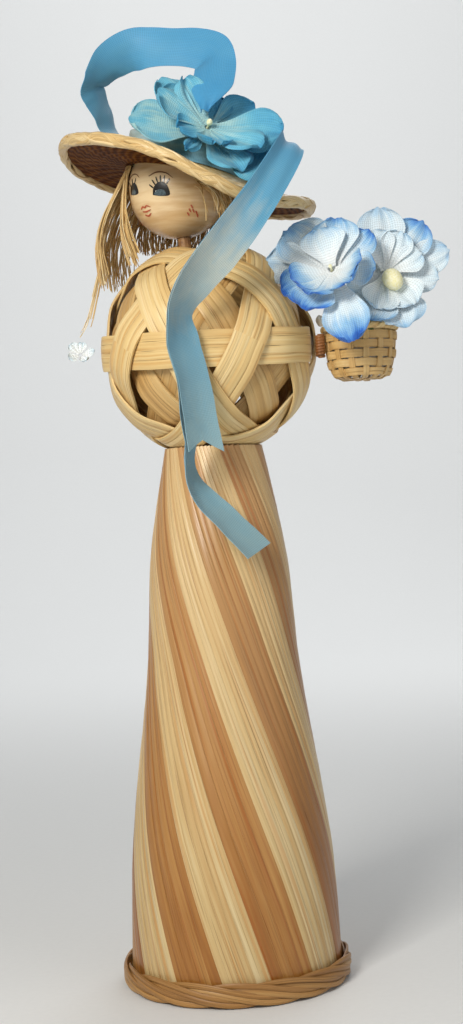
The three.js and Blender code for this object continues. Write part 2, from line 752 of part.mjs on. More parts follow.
function addHair() {
  const group = new THREE.Group();
  group.position.copy(headCentre);
  doll.add(group);
  const tuftCentre = new THREE.Vector3(...TUFT_PLACE);
  const threadEnd = tuftCentre.clone().add(new THREE.Vector3(0, 1, TUFT_RADIUS + THREAD_GAP));
  const thread = [...THREAD_PATH.map((place) => new THREE.Vector3(...place)), threadEnd];
  const leftBodies = [...hairLock(LEFT_LOCK), tube(thread, HAIR_STRAND_RADIUS, 3, 8)];
  piece('hair_left', join(leftBodies), hairStraw, group);
  piece('hair_back', join(hairLock(BACK_LOCK)), hairStraw, group);
  piece('hair_right', join(hairLock(RIGHT_LOCK)), hairStraw, group);

  const tuft = piece('hair_tuft', corolla(TUFT_RADIUS, TUFT_CUP, STEM_RADIUS, 2), whitePetal, group);
  tuft.position.copy(tuftCentre);
  tuft.rotation.x = radians(TUFT_TIP);

  const outer = CROWN_RADIUS - CROWN_WALL - GLUE_GAP;
  const top = HAIR_CAP_HEIGHT;
  const capProfile = [[0, GLUE_GAP], [outer, GLUE_GAP], [HAIR_CAP_TOP_RADIUS, top], [0, top]];
  const hollow = ball(HEAD_RADIUS + GLUE_GAP, HEAD_SEGMENTS, HEAD_RINGS);
  hollow.applyMatrix4(new THREE.Matrix4().makeTranslation(-HAT_SHIFT, 0, -HAT_SEAT));
  piece('hair_cap', cut(turned(capProfile, HEAD_SEGMENTS), hollow), hairStraw, brimGroup);
}

// Cloth petals: a cupped, lobed sheet round a small hole, facing +Z.
function corolla(radius, cup, hole, rows) {
  const around = PETAL_COUNT * 4;
  const rings = [];
  const ringAt = (share, face) => {
    const ring = [];
    for (let i = 0; i < around; i += 1) {
      const turn = (i / around) * 2 * Math.PI;
      const lobe = Math.abs(Math.cos((turn * PETAL_COUNT) / 2));
      const reach = hole + (radius - hole) * share * (1 - 0.3 * share * (1 - lobe ** 0.7));
      const lift = cup * share ** 1.4 * (0.82 + 0.18 * Math.cos(turn * PETAL_COUNT));
      ring.push(new THREE.Vector3(reach * Math.cos(turn), reach * Math.sin(turn), lift + face));
    }
    return ring;
  };
  for (let j = 0; j <= rows; j += 1) {
    rings.push(ringAt(j / rows, PETAL_THICKNESS));
  }
  for (let j = rows; j >= 0; j -= 1) {
    rings.push(ringAt(j / rows, 0));
  }
  return loft(rings, true);
}

// A stamen: a round knob on a short neck that passes through the petals.
function stamen(neck, knob) {
  const profile = [
    [0, 0],
    [STEM_RADIUS, 0],
    [STEM_RADIUS, neck],
    [0.8 * knob, neck + 0.4 * knob],
    [knob, neck + 1.1 * knob],
    [0.6 * knob, neck + 1.8 * knob],
    [0, neck + 2 * knob],
  ];
  return turned(profile, 10);
}

// One cloth flower, built facing +Z from its back, and turned to face a direction.
function addFlower(parent, name, flower) {
  const group = new THREE.Group();
  group.position.copy(flower.at);
  group.quaternion.setFromUnitVectors(UP, flower.facing.clone().normalize());
  parent.add(group);
  const hole = STEM_RADIUS + GLUE_GAP;
  const outerGeometry = corolla(flower.radius, flower.cup, hole, PETAL_ROWS);
  const outer = piece(`${name}_outer_petals`, outerGeometry, flower.petal, group);
  outer.rotation.z = radians(flower.turn);
  const innerRadius = FLOWER_INNER_SHARE * flower.radius;
  const innerGeometry = corolla(innerRadius, flower.cup * 0.9, hole, PETAL_ROWS);
  const inner = piece(`${name}_inner_petals`, innerGeometry, flower.petal, group);
  inner.rotation.z = radians(flower.turn + 180 / PETAL_COUNT);
  inner.position.z = PETAL_THICKNESS + PETAL_LAYER_GAP;
  const neck = FLOWER_BACK + 2 * PETAL_THICKNESS + PETAL_LAYER_GAP + GLUE_GAP;
  piece(`${name}_stamen`, stamen(neck, STAMEN_RADIUS), creamStamen, group).position.z = -FLOWER_BACK;
}

function addHatFlower() {
  const turn = radians(HAT_FLOWER_TURN);
  const rise = radians(HAT_FLOWER_RISE);
  const facing = new THREE.Vector3(
    Math.cos(turn) * Math.cos(rise),
    Math.sin(turn) * Math.cos(rise),
    Math.sin(rise),
  );
  const wall = CROWN_RADIUS + GLUE_GAP + RIBBON_THICKNESS + GLUE_GAP + STEM_RADIUS * Math.sin(rise);
  const at = new THREE.Vector3(wall * Math.cos(turn), wall * Math.sin(turn), HAT_FLOWER_HEIGHT);
  at.addScaledVector(facing, FLOWER_BACK);
  const size = { radius: HAT_FLOWER_RADIUS, cup: HAT_FLOWER_CUP, turn: HAT_FLOWER_SPIN };
  addFlower(brimGroup, 'hat_flower', { at, facing, petal: bluePetal, ...size });
}

// Ribbon: a flat band through stations, each with a place and the direction across the band.
// It lies at a given lift from them, and one edge of its end is cut back.
function ribbon(stations, steps, endCut, baseLift = 0) {
  const centres = new THREE.CatmullRomCurve3(stations.map((s) => s.at), false, 'centripetal');
  const sides = new THREE.CatmullRomCurve3(stations.map((s) => s.across.clone().normalize()));
  const spans = stations.length - 1;
  const rings = [];
  for (let i = 0; i <= steps; i += 1) {
    const share = i / steps;
    const along = centres.getTangent(share);
    const across = sides.getPoint(share);
    across.addScaledVector(along, -across.dot(along)).normalize();
    const face = along.clone().cross(across);
    const late = Math.max(0, share - 1 + 1 / spans) * spans;
    const lag = along.clone().multiplyScalar(endCut * late);
    const corner = (side, lift) => centres.getPoint(share)
      .addScaledVector(across, (side * RIBBON_WIDTH) / 2)
      .addScaledVector(face, baseLift + (lift * RIBBON_THICKNESS) / 2)
      .addScaledVector(lag, side);
    rings.push([corner(1, 1), corner(1, -1), corner(-1, -1), corner(-1, 1)]);
  }
  return loft(rings);
}

// Stations from a table, moved by an offset.
function stationsOf(table, offset) {
  return table.map(([x, y, z, ax, ay, az]) => ({
    at: new THREE.Vector3(x, y, z).add(offset),
    across: new THREE.Vector3(ax, ay, az),
  }));
}

function addRibbonLoop() {
  const rise = CROWN_HEIGHT + CLOTH_GAP + RIBBON_THICKNESS;
  const brimMiddle = new THREE.Vector3().setFromMatrixPosition(hatFrame);
  const stations = [
    { at: hatPoint(3, -60, rise), across: new THREE.Vector3(0.95, 0.1, -0.2) },
    ...stationsOf(LOOP_PATH, brimMiddle),
    { at: hatPoint(CROWN_RADIUS + 3.2, 148, 8), across: new THREE.Vector3(-0.5, 0.3, -0.8) },
  ];
  piece('ribbon_loop', ribbon(stations, RIBBON_LOOP_STEPS, 0), blueRibbon);
}

// A station on the brim: the band's width lies on the brim's slope, in a direction given by its turn.
function brimStation(radius, turn, height, acrossTurn) {
  const x = radius * Math.cos(radians(turn));
  const y = radius * Math.sin(radians(turn));
  const dx = (RIBBON_WIDTH / 2) * Math.cos(radians(acrossTurn));
  const dy = (RIBBON_WIDTH / 2) * Math.sin(radians(acrossTurn));
  const across = hatAt(x + dx, y + dy, height).sub(hatAt(x - dx, y - dy, height));
  return { at: hatAt(x, y, height), across };
}

// The run that both tails share: from the crown over the brim's edge, and down in front of the ball.
function tailRun(front) {
  const lie = BRIM_THICKNESS + CLOTH_GAP + RIBBON_THICKNESS;
  const middle = (CROWN_RADIUS + BRIM_RADIUS) / 2;
  return [
    brimStation(CROWN_RADIUS + 0.6 * RIBBON_WIDTH, TAIL_TURN, lie, TAIL_TURN + 24),
    brimStation(middle + 2, TAIL_TURN - 24, lie + TAIL_ARCH_START, TAIL_TURN + 12),
    brimStation(brimEdge - 1, TAIL_TURN - 43, lie + TAIL_ARCH_MIDDLE, TAIL_TURN - 4),
    brimStation(BRIM_RADIUS + CLOTH_GAP, TAIL_TURN - 57, lie + TAIL_ARCH_EDGE, TAIL_TURN - 40),
    ...stationsOf(TAIL_PATH, front),
  ];
}

function addTails() {
  const front = new THREE.Vector3(0, -(ballReach + TAIL_STANDOFF), ballHeight);
  const short = [...tailRun(front), ...stationsOf(TAIL_SHORT_END, front)];
  const long = [...tailRun(front), ...stationsOf(TAIL_LONG_END, front)];
  const shortBand = ribbon(short, TAIL_SHORT_STEPS, -TAIL_END_CUT, TAIL_LAYER_GAP);
  const longBand = ribbon(long, TAIL_LONG_STEPS, TAIL_END_CUT);
  piece('ribbon_tail_short', shortBand, blueRibbon);
  piece('ribbon_tail_long', longBand, blueRibbon);
}

// Basket and bouquet

const basketReach = ballReach + BASKET_STANDOFF + BASKET_RADIUS + BASKET_RIM_RADIUS;
const basketTurn = radians(BASKET_TURN);
const basketFoot = new THREE.Vector3(
  basketReach * Math.cos(basketTurn),
  basketReach * Math.sin(basketTurn),
  ballHeight - BASKET_BOTTOM_DROP,
);
const basketGroup = new THREE.Group();
basketGroup.position.copy(basketFoot);
basketGroup.rotation.z = basketTurn;
doll.add(basketGroup);

// Outer radius of the bowl at a height above its foot: it swells quickly and then stands nearly straight.
function bowlRadius(height) {
  const share = THREE.MathUtils.clamp(height / BASKET_HEIGHT, 0, 1);
  return BASKET_FOOT_RADIUS + (BASKET_RADIUS - BASKET_FOOT_RADIUS) * Math.sqrt(share * (2 - share));
}

function bowlWall(inset, from, to, steps) {
  const points = [];
  for (let i = 0; i <= steps; i += 1) {
    const height = from + ((to - from) * i) / steps;
    points.push([bowlRadius(height) - inset, height]);
  }
  return points;
}

const stemFootHeight = BASKET_HEIGHT - BASKET_FILL_DEPTH - STEM_SINK;
const flowers = [
  {
    name: 'flower_a',
    radius: FLOWER_A_RADIUS,
    cup: FLOWER_A_CUP,
    turn: FLOWER_A_TURN,
    petal: whitePetal,
    at: new THREE.Vector3(...FLOWER_A_PLACE),
    facing: new THREE.Vector3(...FLOWER_A_FACING),
    foot: new THREE.Vector3(FLOWER_A_FOOT, 0, stemFootHeight),
    sway: new THREE.Vector3(...FLOWER_A_SWAY),
  },
  {
    name: 'flower_b',
    radius: FLOWER_B_RADIUS,
    cup: FLOWER_B_CUP,
    turn: FLOWER_B_TURN,
    petal: whitePetal,
    at: new THREE.Vector3(...FLOWER_B_PLACE),
    facing: new THREE.Vector3(...FLOWER_B_FACING),
    foot: new THREE.Vector3(FLOWER_B_FOOT, 0, stemFootHeight),
    sway: new THREE.Vector3(...FLOWER_B_SWAY),
  },
];

// The stem's route from the filling up to the back of a flower.
function stemPoints(flower) {
  const facing = flower.facing.clone().normalize();
  const end = flower.at.clone().addScaledVector(facing, -FLOWER_BACK - GLUE_GAP);
  const before = end.clone().addScaledVector(facing, -2.5);
  const rise = flower.foot.clone().setZ(flower.foot.z + STEM_SINK + 1.5);
  return [flower.foot, rise, flower.sway, before, end];
}

function addBasket() {
  const bowl = [
    [0, 0],
    ...bowlWall(0, 0, BASKET_HEIGHT, 5),
    ...bowlWall(BASKET_WALL, BASKET_WALL, BASKET_HEIGHT, 5).reverse(),
    [0, BASKET_WALL],
  ];
  piece('basket_bowl', turned(bowl, BASKET_SEGMENTS), cane, basketGroup);

  const rimHeight = BASKET_HEIGHT + GLUE_GAP + BASKET_RIM_RADIUS;
  const rimMiddle = BASKET_RADIUS - BASKET_WALL / 2;
  const rings = [];
  for (let i = 0; i < BASKET_SEGMENTS; i += 1) {
    const angle = (i / BASKET_SEGMENTS) * 2 * Math.PI;
    const out = new THREE.Vector3(Math.cos(angle), Math.sin(angle), 0);
    const centre = out.clone().multiplyScalar(rimMiddle).setZ(rimHeight);
    rings.push(circlePoints(centre, out, UP, BASKET_RIM_RADIUS, BASKET_RIM_RADIUS, RIM_SIDES));
  }
  piece('basket_rim', loft(rings, true), cane, basketGroup);

  const inset = BASKET_WALL + GLUE_GAP;
  const top = BASKET_HEIGHT - BASKET_FILL_DEPTH;
  const core = [[0, inset], ...bowlWall(inset, inset, top, 3), [0, top]];
  let filling = turned(core, BASKET_SEGMENTS);
  flowers.forEach((flower) => {
    const below = flower.foot.clone().setZ(flower.foot.z - GLUE_GAP);
    const above = flower.foot.clone().setZ(flower.foot.z + 2 * STEM_SINK);
    filling = cut(filling, rod(below, above, STEM_RADIUS + GLUE_GAP));
  });
  piece('basket_filling', filling, clearGlue, basketGroup);
}

// A ball of glue in the corner between the woven ball and the basket's rim.
function addGlue() {
  const rim = new THREE.Vector2(
    basketReach - BASKET_RADIUS + BASKET_WALL / 2,
    basketFoot.z + BASKET_HEIGHT + GLUE_GAP + BASKET_RIM_RADIUS - ballHeight,
  );
  const toBall = ballReach + GLUE_GAP + GLUE_RADIUS;
  const toRim = BASKET_RIM_RADIUS + GLUE_GAP + GLUE_RADIUS;
  const span = rim.length();
  const along = (span ** 2 + toBall ** 2 - toRim ** 2) / (2 * span);
  const aside = Math.sqrt(toBall ** 2 - along ** 2);
  const unit = rim.clone().divideScalar(span);
  const reach = along * unit.x - aside * unit.y;
  const height = along * unit.y + aside * unit.x;
  const glue = piece('basket_glue', ball(GLUE_RADIUS, 12, 8), clearGlue);
  glue.position.set(reach * Math.cos(basketTurn), reach * Math.sin(basketTurn), ballHeight + height);
}

// A wrapped tie that fills the wedge between the ball and the bowl, in front.
function addTie() {
  const middle = ballHeight - BASKET_BOTTOM_DROP + BASKET_HEIGHT - TIE_HEIGHT / 2;
  const toBall = ballReach + GLUE_GAP + TIE_RADIUS;
  const toBowl = BASKET_RADIUS + GLUE_GAP + TIE_RADIUS;
  const along = (basketReach ** 2 + toBall ** 2 - toBowl ** 2) / (2 * basketReach);
  const aside = Math.sqrt(toBall ** 2 - along ** 2);
  const centre = new THREE.Vector3(along, -aside, middle).applyAxisAngle(UP, basketTurn);
  const half = new THREE.Vector3(0, 0, TIE_HEIGHT / 2);
  piece('basket_tie', rod(centre.clone().sub(half), centre.clone().add(half), TIE_RADIUS), brownTwine);
}

function addBouquet() {
  flowers.forEach((flower) => {
    addFlower(basketGroup, flower.name, flower);
    const stem = tube(stemPoints(flower), STEM_RADIUS, STEM_SIDES, STEM_STEPS);
    piece(`${flower.name}_stem`, stem, stemWire, basketGroup);
  });
}

addSlats();
addBase();
addPlugAndPeg();
addBall();
addHead();
addHat();
addHair();
addHatFlower();
addRibbonLoop();
addTails();
addBasket();
addGlue();
addTie();
addBouquet();

const part = new THREE.Group();
part.add(doll);

export default part;
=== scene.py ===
"""Looks of a wicker doll: straw skirt, cane ball, bead head, straw hat, ribbon, cloth flowers and basket.

Sizes are millimetres in the doll's own frame, as in the part's source: +Z up, the front towards -Y, and
the skirt's axis at the origin. Each piece is built there and brought to the shared frame, in metres, when
its mesh is finished.
"""
from __future__ import annotations

import json
import logging
from dataclasses import dataclass, field
from enum import Enum
from math import asin, atan, atan2, copysign, cos, degrees, hypot, pi, radians, sin, sqrt, tan, tau
from random import Random
from typing import Callable, Sequence

import bmesh
import bpy
from mathutils import Matrix, Vector, noise

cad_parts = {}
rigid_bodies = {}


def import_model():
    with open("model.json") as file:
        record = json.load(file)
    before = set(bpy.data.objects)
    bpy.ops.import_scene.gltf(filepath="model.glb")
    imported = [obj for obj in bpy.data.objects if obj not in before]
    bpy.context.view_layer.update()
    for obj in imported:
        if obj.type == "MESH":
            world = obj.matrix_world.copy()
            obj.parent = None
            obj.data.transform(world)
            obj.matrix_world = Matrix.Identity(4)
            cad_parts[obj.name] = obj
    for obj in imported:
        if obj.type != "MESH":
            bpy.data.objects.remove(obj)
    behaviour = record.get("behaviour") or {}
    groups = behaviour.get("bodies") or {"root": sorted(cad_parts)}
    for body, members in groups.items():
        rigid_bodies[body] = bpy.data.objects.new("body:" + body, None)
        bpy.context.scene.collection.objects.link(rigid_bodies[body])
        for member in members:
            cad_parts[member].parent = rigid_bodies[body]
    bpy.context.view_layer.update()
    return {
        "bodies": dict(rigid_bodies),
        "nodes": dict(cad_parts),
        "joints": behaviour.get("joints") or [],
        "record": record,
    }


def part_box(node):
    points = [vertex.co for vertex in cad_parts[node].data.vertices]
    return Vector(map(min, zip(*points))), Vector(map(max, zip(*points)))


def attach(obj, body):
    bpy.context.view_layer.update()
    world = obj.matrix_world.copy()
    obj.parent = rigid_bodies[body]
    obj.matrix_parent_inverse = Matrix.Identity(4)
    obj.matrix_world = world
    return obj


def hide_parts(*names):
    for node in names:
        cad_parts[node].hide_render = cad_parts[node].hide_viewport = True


LOG = logging.getLogger("wicker_doll")
MM = 0.001
# Where the doll's own frame stands in the shared one
STAND = Vector((-12.41, 1.7, 0.0))
# From the doll's millimetres to the shared frame's metres
TO_SHARED = Matrix.Scale(MM, 4) @ Matrix.Translation(STAND)
UP = Vector((0.0, 0.0, 1.0))
FRONT = Vector((0.0, -1.0, 0.0))
WELD = 1e-4
TINY = 1e-6
SEED = 20
# The room that the part's source leaves between glued pieces
GLUE_GAP = 0.3
# How far apart strands may start on the UV map, so that no two have the same grain
GRAIN_SPREAD = 300.0
Pair = tuple[float, float]
Triple = tuple[float, float, float]
Points = Sequence[Vector]
Socket = bpy.types.NodeSocket
Material = bpy.types.Material
# Gives the point at the shares across and along a surface
Place = Callable[[float, float], Vector]
# A station of the ribbon: its place, then the direction across it
Row = tuple[float, float, float, float, float, float]
# A brush mark on the bead: points by their turn from the front and their height, in degrees
Mark = tuple[Pair, ...]


class Body(Enum):
    """The two bodies that the head's turn joins."""

    FIGURE = "figure"
    HEAD = "head"


class Slot(Enum):
    """The record's material slots; each new piece names one."""

    PALE_STRAW = "pale_straw"
    TAN_STRAW = "tan_straw"
    CANE = "cane"
    INNER_CANE = "inner_cane"
    BEAD_WOOD = "bead_wood"
    HAT_STRAW = "hat_straw"
    HAIR_STRAW = "hair_straw"
    BLUE_RIBBON = "blue_ribbon"
    BLUE_PETAL = "blue_petal"
    WHITE_PETAL = "white_petal"
    CREAM_STAMEN = "cream_stamen"
    STEM_WIRE = "stem_wire"
    CLEAR_GLUE = "clear_glue"
    BROWN_TWINE = "brown_twine"


class Paint(Enum):
    """The face's paints, by their place in its material slots."""

    BLACK = 0
    WHITE = 1
    GREY = 2
    RED = 3
    BROWN = 4


# Small geometry


def smooth(share: float) -> float:
    """Eases a share from 0 to 1 with level ends."""
    share = min(1.0, max(0.0, share))
    return share * share * (3.0 - 2.0 * share)


def lerp(a: float, b: float, share: float) -> float:
    """The value a share of the way from a to b."""
    return a + (b - a) * share


def polar(radius: float, angle: float, height: float = 0.0) -> Vector:
    """A point by its radius, turn and height."""
    turn = radians(angle)
    return Vector((radius * cos(turn), radius * sin(turn), height))


def facing(at: Vector, direction: Vector) -> Matrix:
    """The frame at a point whose +Z looks along a direction."""
    turn = UP.rotation_difference(direction.normalized()).to_matrix().to_4x4()
    return Matrix.Translation(at) @ turn


class Route:
    """A smooth Catmull-Rom curve through points, centripetal or even, as the part's source uses."""

    def __init__(self, points: Sequence, even: bool = False) -> None:
        """Keeps the points, and whether the curve is even."""
        self.points = [Vector(p) for p in points]
        self.even = even

    def at(self, share: float) -> Vector:
        """The point at a share of the way, each span counting alike.

        Args:
            share: From 0 at the first point to 1 at the last.

        Returns:
            The point on the curve.
        """
        last = len(self.points) - 1
        span = min(int(share * last), last - 1)
        w = share * last - span
        p1, p2 = self.points[span], self.points[span + 1]
        if self.even:
            t1 = (p2 - self.points[max(span - 1, 0)]) / 2.0
            t2 = (self.points[min(span + 2, last)] - p1) / 2.0
        else:
            p0 = self.points[span - 1] if span > 0 else 2 * p1 - p2
            p3 = self.points[span + 2] if span + 2 <= last else 2 * p2 - p1
            d0, d1, d2 = (max((b - a).length, TINY) ** 0.5 for a, b in ((p0, p1), (p1, p2), (p2, p3)))
            t1 = ((p1 - p0) / d0 - (p2 - p0) / (d0 + d1) + (p2 - p1) / d1) * d1
            t2 = ((p2 - p1) / d1 - (p3 - p1) / (d1 + d2) + (p3 - p2) / d2) * d1
        curve = (2 * p1 - 2 * p2 + t1 + t2) * w**3 + (3 * p2 - 3 * p1 - 2 * t1 - t2) * w**2
        return curve + t1 * w + p1

    def run(self, steps: int) -> list[Vector]:
        """Points at even shares of the way, ends included."""
        return [self.at(i / steps) for i in range(steps + 1)]


def directions(path: Points, closed: bool) -> list[Vector]:
    """The way ahead at each point of a path.

    Args:
        path: The points in order.
        closed: Whether the last point leads back to the first.

    Returns:
        One unit vector for each point.
    """
    count = len(path)
    found = []
    for i in range(count):
        after = path[(i + 1) % count] if closed else path[min(i + 1, count - 1)]
        before = path[i - 1] if closed else path[max(i - 1, 0)]
        found.append((after - before).normalized())
    return found


def path_length(path: Points) -> float:
    """The length of a run of points."""
    return sum((b - a).length for a, b in zip(path, path[1:]))


def place_in_scene(name: str, data: bpy.types.ID) -> bpy.types.Object:
    """Puts a mesh, a light or a camera in the scene.

    Args:
        name: The object's name.
        data: What it shows.

    Returns:
        The new object.
    """
    made = bpy.data.objects.new(name, data)
    bpy.context.scene.collection.objects.link(made)
    return made


class Form:
    """A mesh under construction, in the doll's millimetres.

    Its first UV map is in millimetres over the surface. Its second holds a strand's random share and how
    far along the strand a point is, or the shares across and along a petal.
    """

    def __init__(self) -> None:
        """Starts an empty mesh with both UV maps."""
        self.bm = bmesh.new()
        self.flat = self.bm.loops.layers.uv.new("UVMap")
        self.strand = self.bm.loops.layers.uv.new("Strand")

    def sweep(
        self, cells: tuple[int, int], place: Place, size: Pair, tint: float | None = None,
        origin: Pair = (0.0, 0.0), merged: bool = False, capped: bool = False, material: int = 0,
        dip: float = 1.0,
    ) -> list[bmesh.types.BMFace]:
        """Lays a grid and moves its points onto a surface.

        Args:
            cells: Faces across and along.
            place: The point at the shares across and along.
            size: The surface's width and length, for the UV map.
            tint: The strand's random share, or None for the share across.
            origin: Where the UV map starts.
            merged: Whether edges that meet become one.
            capped: Whether the open ends are filled.
            material: The faces' material slot.
            dip: What the share along reaches at the far end.

        Returns:
            The faces made, without the filled ends.
        """
        made = bmesh.ops.create_grid(self.bm, x_segments=cells[0], y_segments=cells[1], size=1.0)["verts"]
        faces = list(dict.fromkeys(face for vert in made for face in vert.link_faces))
        for face in faces:
            face.material_index = material
        for vert in made:
            u, v = (vert.co.x + 1.0) / 2.0, (vert.co.y + 1.0) / 2.0
            for loop in vert.link_loops:
                loop[self.flat].uv = (origin[0] + u * size[0], origin[1] + v * size[1])
                loop[self.strand].uv = (u if tint is None else tint, v * dip)
            vert.co = place(u, v)
        if merged:
            bmesh.ops.remove_doubles(self.bm, verts=made, dist=WELD)
            faces = [face for face in faces if face.is_valid]
        if capped:
            edges = dict.fromkeys(edge for face in faces for edge in face.edges)
            bmesh.ops.holes_fill(self.bm, edges=[edge for edge in edges if edge.is_boundary], sides=0)
        return faces

    def strip(
        self, path: Points, outs: Points, widths: Sequence[float], thickness: float, rng: Random,
        closed: bool = False, sides: int = 8, fullness: float = 0.62,
    ) -> None:
        """A split cane, straw or strand that lies along a path.

        Args:
            path: Its middle line.
            outs: The way that its broad face looks, at each point.
            widths: Its width at each point.
            thickness: How thick it is.
            rng: Draws its tint and grain.
            closed: Whether it is a hoop.
            sides: How many faces round it.
            fullness: 1 for a round section, less for a flatter one.
        """
        ways = directions(path, closed)
        count = len(path) if closed else len(path) - 1
        across = [way.cross(out).normalized() for way, out in zip(ways, outs)]
        faces_out = [side.cross(way) for side, way in zip(across, ways)]

        def place(u: float, v: float) -> Vector:
            """A point of the section, squared off as far as the fullness says."""
            i = round(v * count) % len(path)
            turn = tau * (round(u * sides) % sides + 0.5) / sides
            c, s = cos(turn), sin(turn)
            c, s = copysign(abs(c) ** fullness, c), copysign(abs(s) ** fullness, s)
            return path[i] + across[i] * (c * widths[i] / 2.0) + faces_out[i] * (s * thickness / 2.0)

        girth = 2.0 * (max(widths) + thickness)
        origin = (rng.uniform(0.0, GRAIN_SPREAD), rng.uniform(0.0, GRAIN_SPREAD))
        size = (girth, path_length(path))
        self.sweep((sides, count), place, size, rng.random(), origin, merged=True, capped=not closed)

    def sheet(
        self, cells: tuple[int, int], place: Place, size: Pair, thickness: float, merged: bool = False,
        dip: float = 1.0,
    ) -> float:
        """A thin sheet of cloth, thickened.

        Args:
            cells: Faces across and along.
            place: The point at the shares across and along.
            size: Its flat width and length.
            thickness: How thick the cloth is.
            merged: Whether edges that meet become one.
            dip: What the share along reaches at the far end.

        Returns:
            The area of one face of the cloth, in square millimetres.
        """
        faces = self.sweep(cells, place, size, merged=merged, dip=dip)
        area = sum(face.calc_area() for face in faces)
        self.thicken(faces, thickness)
        return area

    def thicken(self, faces: list[bmesh.types.BMFace], thickness: float) -> None:
        """Gives a layer of faces a second side and edges.

        Args:
            faces: The layer.
            thickness: How far off the second side lies.
        """
        raised = bmesh.ops.extrude_face_region(self.bm, geom=faces, use_keep_orig=True)["geom"]
        self.bm.normal_update()
        verts = [part for part in raised if isinstance(part, bmesh.types.BMVert)]
        moves = [vert.normal * thickness for vert in verts]
        for vert, move in zip(verts, moves):
            vert.co += move

    def move(self, matrix: Matrix) -> None:
        """Moves all that has been made."""
        self.bm.transform(matrix)

    def finish(
        self, name: str, materials: Sequence[Material], body: Body, slot: Slot,
        nodes: Sequence[str] = (), crease: float = 40.0,
    ) -> bpy.types.Object:
        """Makes the piece and puts it in the shared frame.

        Args:
            name: The piece's name.
            materials: Its material slots in order.
            body: The body that it rides on.
            slot: The record's slot for its finish. Not used.
            nodes: The CAD nodes that it stands for.
            crease: Edges sharper than this stay sharp, in degrees.

        Returns:
            The new object.
        """
        bmesh.ops.recalc_face_normals(self.bm, faces=self.bm.faces)
        self.bm.transform(TO_SHARED)
        mesh = bpy.data.meshes.new(name)
        self.bm.to_mesh(mesh)
        self.bm.free()
        mesh.shade_smooth()
        mesh.set_sharp_from_angle(angle=radians(crease))
        for material in materials:
            mesh.materials.append(material)
        piece = place_in_scene(name, mesh)
        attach(piece, body.value)
        if nodes:
            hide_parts(*nodes)
        LOG.info("%s: %d faces on %s", name, len(mesh.polygons), body.value)
        return piece


# Finishes


def linear(colour: str) -> tuple[float, float, float, float]:
    """Turns an sRGB hex colour to the linear one that shaders take.

    Args:
        colour: Six hex digits after a hash.

    Returns:
        Red, green, blue and an alpha of 1.
    """
    parts = [int(colour[i : i + 2], 16) / 255.0 for i in (1, 3, 5)]
    bent = [p / 12.92 if p <= 0.04045 else ((p + 0.055) / 1.055) ** 2.4 for p in parts]
    return (bent[0], bent[1], bent[2], 1.0)


class Surface:
    """A material being made: its node tree and its shader."""

    def __init__(self, name: str, constants: dict[str, object]) -> None:
        """Starts a material.

        Args:
            name: The real material.
            constants: Plain values by the shader's socket.
        """
        self.material = bpy.data.materials.new(name)
        self.material.use_nodes = True
        self.tree = self.material.node_tree
        self.shader = self.tree.nodes["Principled BSDF"]
        for socket, value in constants.items():
            self.shader.inputs[socket].default_value = value

    def add(self, kind: str, inputs: dict | None = None, **settings: object) -> bpy.types.Node:
        """Adds a node with its settings and links.

        Args:
            kind: The node's type, without the word ShaderNode.
            inputs: Values, or outputs to link, by the input's name or number.
            settings: The node's own properties; stops are a colour ramp's positions and colours.

        Returns:
            The new node.
        """
        node = self.tree.nodes.new(f"ShaderNode{kind}")
        stops = settings.pop("stops", [])
        for index, (position, colour) in enumerate(stops):
            elements = node.color_ramp.elements
            inside = 0 < index < len(stops) - 1
            element = elements.new(position) if inside else elements[-1 if index else 0]
            element.position, element.color = position, linear(colour)
        for key, value in settings.items():
            setattr(node, key, value)
        for key, value in (inputs or {}).items():
            if isinstance(value, Socket):
                self.tree.links.new(value, node.inputs[key])
            else:
                node.inputs[key].default_value = value
        return node

    def wire(self, **outputs: Socket) -> Material:
        """Links outputs to the shader.

        Args:
            outputs: An output by the shader's socket, spaces written as underscores.

        Returns:
            The finished material.
        """
        for socket, output in outputs.items():
            self.tree.links.new(output, self.shader.inputs[socket.replace("_", " ")])
        return self.material

    def grain(self, across: float, along: float, detail: float = 3.0) -> Socket:
        """Marks stretched along a strand.

        Args:
            across: A mark's width in millimetres.
            along: Its length in millimetres.
            detail: How many finer marks lie in it.

        Returns:
            The pattern, from 0 to 1.
        """
        uv = self.add("UVMap", uv_map="UVMap")
        scale = (1.0 / across, 1.0 / along, 1.0)
        scaled = self.add("Mapping", {"Vector": uv.outputs[0], "Scale": scale})
        inputs = {"Vector": scaled.outputs[0], "Scale": 1.0, "Detail": detail}
        return self.add("TexNoise", inputs).outputs["Fac"]

    def sum(self, terms: Sequence[tuple[Socket, float]], start: float) -> Socket:
        """Adds patterns to a start value.

        Args:
            terms: The patterns, each with its weight.
            start: The value to begin with.

        Returns:
            The total.
        """
        total: object = start
        for pattern, weight in terms:
            inputs = {0: pattern, 1: weight, 2: total}
            total = self.add("Math", inputs, operation="MULTIPLY_ADD").outputs[0]
        return total


